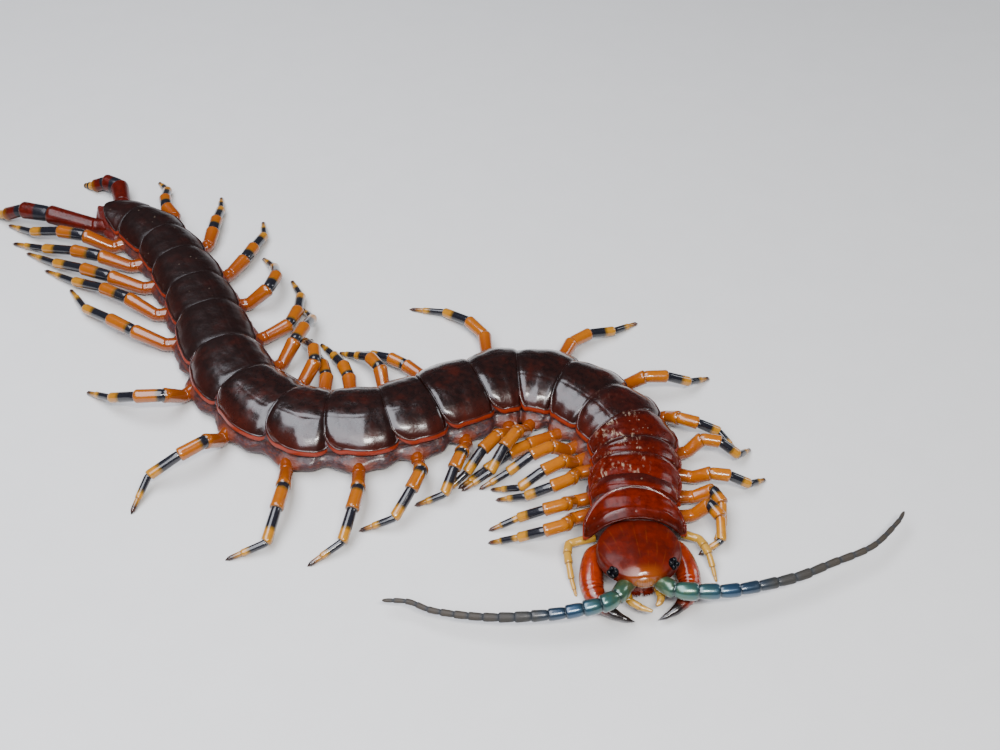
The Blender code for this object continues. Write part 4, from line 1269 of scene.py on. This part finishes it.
def band_share(share, low, high):
    """How black a place is, in shares of an article, for a band that runs from low to high."""
    start = smooth_step(low + BAND_START_FADE[0], low + BAND_START_FADE[1], share)
    return start * (1 - smooth_step(high + BAND_END_FADE[0], high + BAND_END_FADE[1], share))


def leg_stations(pair, side):
    """The leg's path and, along it, the radius and marks of every ring."""
    path = [coxa_line(pair, side)[0]] + leg_joints(pair, side)
    thickness = leg_thickness(pair)
    radii = [tuple(COXA_RADIUS * share for share in COXA_TAPER), TROCHANTER_RADII, *ARTICLE_RADII]
    bands = bands_of(pair, side)
    depth = interpolate(LEG_DEPTH, pair)
    stations, travelled = [], 0.0
    for article, (near, far) in enumerate(zip(path, path[1:])):
        length = (far - near).length
        start, end = radii[article]
        tip = article == len(path) - 2
        for share, swell in TIP_SHAPE if tip else ROOT_SHAPE if article < 2 else ARTICLE_SHAPE:
            # The root and the claw have no joint marks, and the thigh leaves the root without a waist
            joint = joint_share(share, length, LEG_JOINT_WIDTH * thickness)
            if tip or article + share < 2.5:
                joint = 0.0
            if article == 2 and share < 0.3:
                swell = 1.0
            radius = (start + (end - start) * share) * thickness * swell
            if tip:
                radius = max(LEG_CLAW_POINT_RADIUS, LEG_CLAW_RADIUS * thickness * swell)
            band = max((band_share(share, *span) for which, *span in bands if which == article), default=0.0)
            stations.append((travelled + share * length, radius, (article + share, band, joint, depth)))
        travelled += length
    return path, stations


def build_leg(pair, side, surface, sides):
    path, stations = leg_stations(pair, side)
    new_tube(f"leg_{pair:02d}_{side}_shell", path, LEG_CORNER_REACH * leg_thickness(pair), stations,
             ("article", "band", "joint", "depth"), sides, surface, (f"leg_{pair:02d}_{side}",))


# The head

def new_head_piece(name, surface, shape, columns, rows, replaced=()):
    """A piece of the head from a ball, whose points a function places in the head's own millimetres."""
    bm = bmesh.new()
    bmesh.ops.create_uvsphere(bm, u_segments=columns, v_segments=rows, radius=1.0)
    forward, aside = (bm.verts.layers.float.new(mark) for mark in ("forward", "aside"))
    place = head_frame()
    for vert in bm.verts:
        x, y, z = vert.co.normalized()
        vert[forward], vert[aside] = y, x
        vert.co = metres(place @ shape(x, y, z))
    new_piece(name, bm, surface, replaced)


def head_relief(x, y, level):
    """What the groove, the brow, the bumps between the feelers and the rim add to the head's top."""
    relief = -HEAD_GROOVE[0] * bell(x, HEAD_GROOVE[1]) * smooth_step(0.0, -0.4, y)
    relief += BROW_RISE * bell(x, BROW_SIZE[0]) * bell(y - BROW_PLACE, BROW_SIZE[1])
    for side in (-1, 1):
        for rise, aside, forward, spread in HEAD_BUMPS:
            relief += rise * math.exp(-((x - side * aside) ** 2 + (y - forward) ** 2) / spread)
    return relief + HEAD_RIM_BEAD * smooth_step(0.9, 0.96, level) * smooth_step(1.0, 0.98, level)


def head_point(x, y, z):
    """The head plate: broad and flat on top, squarer and a little narrower in front."""
    level = math.hypot(x, y)
    squarer, narrower = 1.0, 1 - HEAD_TAPER * max(0.0, y) ** 2
    if level > 0.001 and y > 0:
        power = HEAD_SQUARENESS
        squarer = ((abs(x) / level) ** power + (y / level) ** power) ** (-1 / power)
    reach = HEAD_HALF_LENGTH + (HEAD_BACK_REACH if y < 0 else 0.0)
    spot = Vector((x * HEAD_HALF_WIDTH * narrower * squarer, y * reach * squarer, HEAD_RIM_HEIGHT))
    if z > 0:
        spot.z += HEAD_DOME * z ** HEAD_FLATNESS + head_relief(x, y, level)
        spot.z += noise.noise(spot * HEAD_UNEVENNESS[0]) * HEAD_UNEVENNESS[1]
    else:
        spot.z += HEAD_UNDERSIDE * z
    return spot


def capsule_point(x, y, z):
    """The capsule under the head plate, which carries the face."""
    return Vector((x * FACE_CAPSULE[0], y * FACE_CAPSULE[1], FACE_CAPSULE_HEIGHT + z * FACE_CAPSULE[2]))


def shield_point(x, y, z):
    """The shield between the feelers, a little narrower in front."""
    wide, long, high = FACE_SHIELD
    forward, height = FACE_SHIELD_PLACE
    return Vector((x * wide * (1 - FACE_SHIELD_TAPER * y), forward + y * long, height + z * high))


def build_head(look):
    """The head plate, the capsule under it, the shield between the feelers and the feelers' sockets."""
    surface = face_finish(look)
    new_head_piece("head_plate", head_finish(look), head_point, columns=120, rows=72, replaced=("head",))
    new_head_piece("face_capsule", surface, capsule_point, columns=72, rows=48)
    new_head_piece("face_shield", surface, shield_point, columns=56, rows=40)
    socket = plain_shell_finish("socket_skin", look.feeler_root, look.coxa, 0.3)
    for side in SIDES:
        start, _, direction = socket_line(side)
        end = start + direction * SOCKET_SHOWN
        new_stub(f"feeler_socket_{side}", start, end, SOCKET_SWELL, socket)


def build_eyes(look):
    """Four glossy beads a side, set on a low black patch."""
    surface = eye_finish(look)
    wide, high = EYE_PATCH
    patch_size = Matrix.Diagonal((wide * MM, wide * MM, high * MM, 1.0))
    for side in SIDES:
        place = eye_place(side)
        bm = bmesh.new()
        for (aside, forward), radius in zip(EYE_BEADS, EYE_BEAD_RADII):
            at = Matrix.Translation(metres(place @ Vector((aside, forward, EYE_BEAD_RISE))))
            bmesh.ops.create_uvsphere(bm, u_segments=28, v_segments=18, radius=radius,
                                      matrix=at @ Matrix.Scale(MM, 4))
        new_piece(f"eye_beads_{side}", bm, surface, (f"eyes_{side}",))
        at = Matrix.Translation(metres(place @ Vector((0, 0, EYE_BEAD_RISE - EYE_PATCH_BELOW_BEADS))))
        bm = bmesh.new()
        bmesh.ops.create_uvsphere(bm, u_segments=32, v_segments=20, radius=1.0,
                                  matrix=at @ place.to_3x3().to_4x4() @ patch_size)
        new_piece(f"eye_patch_{side}", bm, surface)


# Feelers, claws and palps

def build_feeler(side, surface, sides):
    """Seventeen articles, each narrow where it begins, with a dark ring at every joint."""
    start, face, direction = socket_line(side)
    root = start + direction * (SOCKET_SHOWN - FEELER_IN_SOCKET)
    route = [root - direction * FEELER_LEAD_IN, root, face]
    route += [in_head(side, *p) for p in FEELER_ROUTES[side]]
    route.append(route[-1] * 2 - route[-2])
    count = FEELER_ROUTE_STEPS * (len(route) - 3)
    fine = [spline(route, 1 + i / FEELER_ROUTE_STEPS) for i in range(count + 1)]
    shortening = (FEELER_LAST_LENGTH - FEELER_FIRST_LENGTH) / (FEELER_ARTICLES - 1)
    lengths = [FEELER_FIRST_LENGTH + shortening * i for i in range(FEELER_ARTICLES)]
    lengths[0] += FEELER_LEAD[side]
    stretch = sum((b - a).length for a, b in zip(fine, fine[1:])) / sum(lengths)
    stations, travelled = [], 0.0
    for article, length in enumerate(lengths):
        length *= stretch
        radius = interpolate(FEELER_RADII, article)
        bulge = FEELER_BULGE * max(0.0, 1 - article / BULGING_ARTICLES)
        tip = article == FEELER_ARTICLES - 1
        for share, swell in FEELER_TIP_SHAPE if tip else FEELER_SHAPE:
            swell *= 1 + bulge * math.sin(math.pi * share)
            joint = 0.0 if tip and share > 0.5 else joint_share(share, length, FEELER_JOINT_WIDTH)
            stations.append((travelled + share * length, radius * swell, (article + share, joint)))
        travelled += length
    new_tube(f"feeler_{side}_shell", fine, FEELER_CORNER_REACH, stations, ("article", "joint"), sides,
             surface, (f"feeler_{side}",))


def build_claw(side, surface, sides):
    """A poison claw: one long swollen article, two short creased ones and the black point."""
    route = extended([in_head(side, *p) for p in CLAW_ROUTE])
    radii = list(enumerate(CLAW_ROUTE_RADII))
    count = CLAW_STEPS * (len(CLAW_ROUTE) - 1)
    rings = []
    for i in range(count + 1):
        where, share = i / CLAW_STEPS, i / count
        ahead = spline(route, 1 + where + 0.05) - spline(route, 1 + where - 0.05)
        right, up = across_and_up(ahead.normalized())
        joint = max(bell(share - crease, CREASE_WIDTH) for crease in CLAW_CREASES)
        radius = max(interpolate(radii, where) * (1 - CREASE_DEPTH * joint), CLAW_POINT_RADIUS)
        middle = spline(route, 1 + where)
        rings.append(ellipse_ring(middle, right, up, radius, radius * CLAW_FLATNESS, (share, joint), sides))
    grow_piece(f"poison_claw_{side}_shell", rings, ("along", "joint"), surface,
               (f"poison_claw_{side}",))


def build_claw_carrier(surface):
    """The plate under the head that carries the claws, grooved along the middle of its underside."""
    place = head_frame()
    behind, in_front = CARRIER_HALF_WIDTHS
    bm = bmesh.new()
    bmesh.ops.create_cube(bm, size=2.0)
    bmesh.ops.subdivide_edges(bm, edges=bm.edges, cuts=9, use_grid_fill=True)
    for vert in bm.verts:
        x, y, z = vert.co
        half = behind + (in_front - behind) * (y + 1) / 2
        rounding = 1 - CARRIER_ROUNDING * (x * y) ** 2
        thinning = 1 - CARRIER_EDGE_THINNING * max(abs(x), abs(y)) ** 6
        height = CARRIER_MIDDLE[1] + z * CARRIER_HALF_THICKNESS * thinning
        if z < 0:
            height += CARRIER_GROOVE[0] * bell(x, CARRIER_GROOVE[1])
        forward = CARRIER_MIDDLE[0] + y * CARRIER_HALF_LENGTH * rounding
        vert.co = metres(place @ Vector((x * half * rounding, forward, height)))
    edges = [edge for edge in bm.edges if edge.calc_face_angle(0) > 0.9]
    bmesh.ops.bevel(bm, geom=edges, offset=CARRIER_BEVEL * MM, segments=3, affect="EDGES", profile=0.5,
                    material=-1)
    new_piece("claw_carrier_shell", bm, surface, ("claw_carrier",))


def build_tooth_plate(side, surface):
    """The plate with teeth along its front, on one side of the claws' carrier."""
    aside, forward, height = TOOTH_PLATE_START
    width, length, thickness = TOOTH_PLATE_SIZE
    bm = bmesh.new()
    bmesh.ops.create_grid(bm, x_segments=24, y_segments=6, size=1.0)
    for vert in bm.verts:
        x, y = (vert.co.x + 1) / 2, (vert.co.y + 1) / 2
        tooth = TOOTH_LENGTH * abs(math.sin(x * math.pi * TEETH)) * y
        reach = forward + length * y * (1 - TOOTH_PLATE_SLANT * x) + tooth
        vert.co = metres(in_head(side, aside + width * x, reach, height))
    thicken(bm, thickness)
    new_piece(f"tooth_plate_{side}", bm, surface)


def build_claw_base(look):
    """What carries the claws: the plate, its two toothed plates and the claws' stubs."""
    surface = plain_shell_finish("claw_carrier_shell", look.claw, look.claw_dark, 0.2)
    build_claw_carrier(surface)
    teeth = plain_shell_finish("tooth_shell", look.claw_dark, look.claw_tip, 0.2)
    for side in SIDES:
        build_tooth_plate(side, teeth)
        start, end, direction = claw_root(side)
        end = end + direction * CLAW_ROOT_PAST_FACE
        new_stub(f"claw_root_{side}", start, end, CLAW_ROOT_SWELL, surface)


def build_palp(side, surface, sides):
    """A small palp of four articles with a fine claw."""
    points = [in_head(side, *p) for p in (PALP_ROOT, *PALP_ROUTES[side])]
    stations, travelled = [], 0.0
    for article, (near, far) in enumerate(zip(points, points[1:])):
        length = (far - near).length
        low, high = PALP_RADII[article:article + 2]
        for share, swell in ARTICLE_SHAPE:
            radius = (low + (high - low) * share) * swell
            joint = joint_share(share, length, PALP_JOINT_WIDTH)
            stations.append((travelled + share * length, radius, (article + share, 0.0, joint)))
        travelled += length
    new_tube(f"palp_{side}_shell", points, PALP_CORNER_REACH, stations, ("article", "band", "joint"), sides,
             surface, (f"palp_{side}",))


# The stage

def add_lamp(name, place, aim, size, power, colour):
    """A soft lamp, in the pose's millimetres."""
    lamp = bpy.data.lights.new(name, "AREA")
    lamp.shape = "RECTANGLE"
    lamp.size, lamp.size_y = size[0] * MM, size[1] * MM
    lamp.energy = power
    lamp.color = colour
    holder = add_object(name, lamp)
    holder.location = metres(Vector(place))
    holder.rotation_euler = (Vector(aim) - Vector(place)).to_track_quat("-Z", "Y").to_euler()


def build_stage(look):
    """The floor, the sky, the lamps and the camera."""
    bm = bmesh.new()
    bmesh.ops.create_grid(bm, x_segments=2, y_segments=2, size=FLOOR_HALF)
    mesh = bpy.data.meshes.new("floor")
    bm.to_mesh(mesh)
    bm.free()
    mesh.materials.append(floor_finish(look))
    add_object("floor", mesh)

    world = bpy.data.worlds.new("studio")
    world.use_nodes = True
    sky = world.node_tree.nodes["Background"]
    sky.inputs["Color"].default_value = SKY_COLOUR
    sky.inputs["Strength"].default_value = SKY_STRENGTH
    bpy.context.scene.world = world
    for lamp in LAMPS:
        add_lamp(*lamp)

    camera = bpy.data.cameras.new("photo_camera")
    camera.lens = CAMERA_LENS
    camera.sensor_width = CAMERA_SENSOR
    camera.clip_start = 0.01
    holder = add_object("photo_camera", camera)
    holder.location = metres(CAMERA_PLACE)
    holder.rotation_euler = (math.radians(90 - CAMERA_PITCH), 0.0, 0.0)
    bpy.context.scene.camera = holder


# The add-on

def tint(name, description, value):
    return FloatVectorProperty(name=name, description=description, subtype="COLOR", size=3, min=0.0, max=1.0,
                               default=value)


def ring_sides(name, description, value):
    return IntProperty(name=name, description=description, default=value, min=8, max=64)


class CentipedeColours(bpy.types.PropertyGroup):
    """The animal's colours."""

    plate_red: tint("Front plates", "Red of the first plates", (0.11, 0.006, 0.0005))
    # Also the painted shade where the plates' rims turn under
    plate_red_dark: tint("Front plates, dark", "Darker clouds on the first plates", (0.05, 0.002, 0.0005))
    plate_brown: tint("Back plates", "Maroon brown of the other plates", (0.022, 0.004, 0.002))
    # Also the colour of the painted shade at each plate's front and rear, and of the painted fall-off of
    # light towards the tail
    plate_dark: tint("Back plates, dark", "Near-black clouds on the plates", (0.006, 0.0015, 0.001))
    plate_warm: tint("Plates, warm", "Warm red towards the plates' sides", (0.08, 0.008, 0.002))
    margin: tint("Plate margins", "Orange-red rims of the plates", (0.22, 0.018, 0.002))
    dust: tint("Soil", "Dry soil on some plates", (0.36, 0.27, 0.19))
    skin: tint("Flank skin", "Mauve-grey skin of the flanks", (0.052, 0.022, 0.026))
    skin_dark: tint("Flank skin, dark", "Darker folds of the flanks", (0.026, 0.008, 0.008))
    coxa: tint("Leg roots", "Orange-brown of the legs' roots", (0.13, 0.018, 0.001))
    belly: tint("Belly", "Dull orange of the belly", (0.2, 0.08, 0.02))
    thigh: tint("Thighs", "Orange of the first long article", (0.32, 0.078, 0.001))
    leg: tint("Legs", "Yellow-orange of the legs' middle", (0.36, 0.108, 0.0015))
    # Also the colour of the painted fall-off of light on the legs towards the tail
    leg_shade: tint("Legs, dark", "Deeper clouds on the legs", (0.2, 0.04, 0.001))
    foot: tint("Feet", "Pale yellow of the feet", (0.4, 0.18, 0.008))
    leg_pale: tint("First legs", "Pale yellow of the first legs and the palps", (0.42, 0.25, 0.04))
    band: tint("Bands", "Black bands of the legs", (0.008, 0.008, 0.012))
    band_edge: tint("Band edges", "Olive where a band fades out", (0.07, 0.05, 0.006))
    joint: tint("Joints", "Brown skin of the joints", (0.07, 0.022, 0.006))
    claw_tip: tint("Claw tips", "Black of the claws' points", (0.01, 0.006, 0.006))
    last_leg: tint("Last legs", "Red of the last pair", (0.08, 0.004, 0.001))
    last_leg_dark: tint("Last legs, dark", "Darker clouds on the last pair", (0.045, 0.003, 0.001))
    head: tint("Head", "Deep red of the head plate", (0.095, 0.005, 0.0005))
    # Also the painted shade on the head's rear, under the first plate
    head_dark: tint("Head, dark", "Darker clouds on the head", (0.035, 0.002, 0.0005))
    brow: tint("Brow", "Orange between the feelers", (0.2, 0.04, 0.003))
    face: tint("Face", "Yellow-brown of the face", (0.24, 0.09, 0.012))
    claw: tint("Poison claws", "Orange-red of the poison claws", (0.24, 0.02, 0.0005))
    claw_dark: tint("Poison claws, dark", "Darker clouds on the poison claws", (0.12, 0.007, 0.0005))
    feeler_root: tint("Feeler roots", "Yellow-green of the feelers' first article", (0.07, 0.11, 0.035))
    feeler: tint("Feelers", "Blue-green of the first articles", (0.035, 0.12, 0.095))
    feeler_blue: tint("Feelers, blue", "Deeper blue further out", (0.018, 0.06, 0.12))
    feeler_slate: tint("Feelers, slate", "Slate of the middle articles", (0.016, 0.016, 0.014))
    feeler_tip: tint("Feeler tips", "Grey-brown of the tips", (0.03, 0.022, 0.014))
    feeler_ring: tint("Feeler rings", "Dark rings at the feelers' joints", (0.006, 0.012, 0.02))
    eye: tint("Eyes", "Black of the eyes", (0.001, 0.001, 0.0012))
    eye_glint: tint("Eyes, light", "Faint blue within the eyes", (0.003, 0.003, 0.005))
    floor: tint("Floor", "Pale floor", (0.66, 0.66, 0.65))


class CentipedeShape(bpy.types.PropertyGroup):
    """How finely the animal is built."""

    leg_sides: ring_sides("Leg sides", "Sides of each leg's rings", 20)
    feeler_sides: ring_sides("Feeler sides", "Sides of each feeler's rings", 28)
    claw_sides: ring_sides("Claw sides", "Sides of each poison claw's rings", 40)


class CENTIPEDE_OT_skin(bpy.types.Operator):
    """Builds the soft skin of the flanks and the belly"""

    bl_idname = "centipede.skin"
    bl_label = "Flank Skin"

    def execute(self, context):
        build_skin(context.scene.centipede_colours)
        return {"FINISHED"}


class CENTIPEDE_OT_back_plates(bpy.types.Operator):
    """Builds the twenty-one plates of the back"""

    bl_idname = "centipede.back_plates"
    bl_label = "Back Plates"

    def execute(self, context):
        look = context.scene.centipede_colours
        red, dark = plate_finish(look, True), plate_finish(look)
        for number in range(1, PLATES + 1):
            build_back_plate(number, red if number <= RED_PLATES else dark)
        return {"FINISHED"}


class CENTIPEDE_OT_belly_plates(bpy.types.Operator):
    """Builds the shields of the belly"""

    bl_idname = "centipede.belly_plates"
    bl_label = "Belly Plates"

    def execute(self, context):
        build_belly_plates(context.scene.centipede_colours)
        return {"FINISHED"}


class CENTIPEDE_OT_legs(bpy.types.Operator):
    """Builds the twenty-one pairs of legs"""

    bl_idname = "centipede.legs"
    bl_label = "Legs"

    def execute(self, context):
        look, shape = context.scene.centipede_colours, context.scene.centipede_shape
        plain = leg_finish(look)
        pale = leg_finish(look, "leg_shell_pale", pale=True)
        last = last_leg_finish(look)
        for pair in range(1, PLATES + 1):
            surface = pale if pair == 1 else last if pair == PLATES else plain
            for side in SIDES:
                build_leg(pair, side, surface, shape.leg_sides)
        return {"FINISHED"}


class CENTIPEDE_OT_head(bpy.types.Operator):
    """Builds the head plate, the face and the feelers' sockets"""

    bl_idname = "centipede.head"
    bl_label = "Head"

    def execute(self, context):
        build_head(context.scene.centipede_colours)
        return {"FINISHED"}


class CENTIPEDE_OT_eyes(bpy.types.Operator):
    """Builds the four eyes of each side"""

    bl_idname = "centipede.eyes"
    bl_label = "Eyes"

    def execute(self, context):
        build_eyes(context.scene.centipede_colours)
        return {"FINISHED"}


class CENTIPEDE_OT_feelers(bpy.types.Operator):
    """Builds the two feelers"""

    bl_idname = "centipede.feelers"
    bl_label = "Feelers"

    def execute(self, context):
        surface = feeler_finish(context.scene.centipede_colours)
        for side in SIDES:
            build_feeler(side, surface, context.scene.centipede_shape.feeler_sides)
        return {"FINISHED"}


class CENTIPEDE_OT_claws(bpy.types.Operator):
    """Builds the poison claws and the plate that carries them"""

    bl_idname = "centipede.claws"
    bl_label = "Poison Claws"

    def execute(self, context):
        look = context.scene.centipede_colours
        surface = claw_finish(look)
        for side in SIDES:
            build_claw(side, surface, context.scene.centipede_shape.claw_sides)
        build_claw_base(look)
        return {"FINISHED"}


class CENTIPEDE_OT_palps(bpy.types.Operator):
    """Builds the two palps beside the mouth"""

    bl_idname = "centipede.palps"
    bl_label = "Palps"

    def execute(self, context):
        surface = leg_finish(context.scene.centipede_colours, "palp_shell", pale=True)
        for side in SIDES:
            build_palp(side, surface, context.scene.centipede_shape.leg_sides)
        return {"FINISHED"}


class CENTIPEDE_OT_stage(bpy.types.Operator):
    """Builds the floor, the lamps and the camera"""

    bl_idname = "centipede.stage"
    bl_label = "Stage"

    def execute(self, context):
        build_stage(context.scene.centipede_colours)
        return {"FINISHED"}


OPERATORS = (
    CENTIPEDE_OT_skin, CENTIPEDE_OT_back_plates, CENTIPEDE_OT_belly_plates, CENTIPEDE_OT_legs,
    CENTIPEDE_OT_head, CENTIPEDE_OT_eyes, CENTIPEDE_OT_feelers, CENTIPEDE_OT_claws, CENTIPEDE_OT_palps,
    CENTIPEDE_OT_stage,
)


class CENTIPEDE_PT_panel(bpy.types.Panel):
    """The centipede's settings and building steps"""

    bl_idname = "CENTIPEDE_PT_panel"
    bl_label = "Giant Centipede"
    bl_space_type = "VIEW_3D"
    bl_region_type = "UI"
    bl_category = "Centipede"

    def draw(self, context):
        layout = self.layout
        for group in (context.scene.centipede_shape, context.scene.centipede_colours):
            for name in group.__annotations__:
                layout.prop(group, name)
        for operator in OPERATORS:
            layout.operator(operator.bl_idname)


CLASSES = (CentipedeColours, CentipedeShape, *OPERATORS, CENTIPEDE_PT_panel)


def register():
    for one in CLASSES:
        bpy.utils.register_class(one)
    bpy.types.Scene.centipede_colours = PointerProperty(type=CentipedeColours)
    bpy.types.Scene.centipede_shape = PointerProperty(type=CentipedeShape)


def unregister():
    del bpy.types.Scene.centipede_shape
    del bpy.types.Scene.centipede_colours
    for one in reversed(CLASSES):
        bpy.utils.unregister_class(one)


def main():
    register()
    bpy.ops.centipede.skin()
    bpy.ops.centipede.back_plates()
    bpy.ops.centipede.belly_plates()
    bpy.ops.centipede.legs()
    bpy.ops.centipede.head()
    bpy.ops.centipede.eyes()
    bpy.ops.centipede.feelers()
    bpy.ops.centipede.claws()
    bpy.ops.centipede.palps()
    bpy.ops.centipede.stage()


if __name__ == "__main__":
    main()
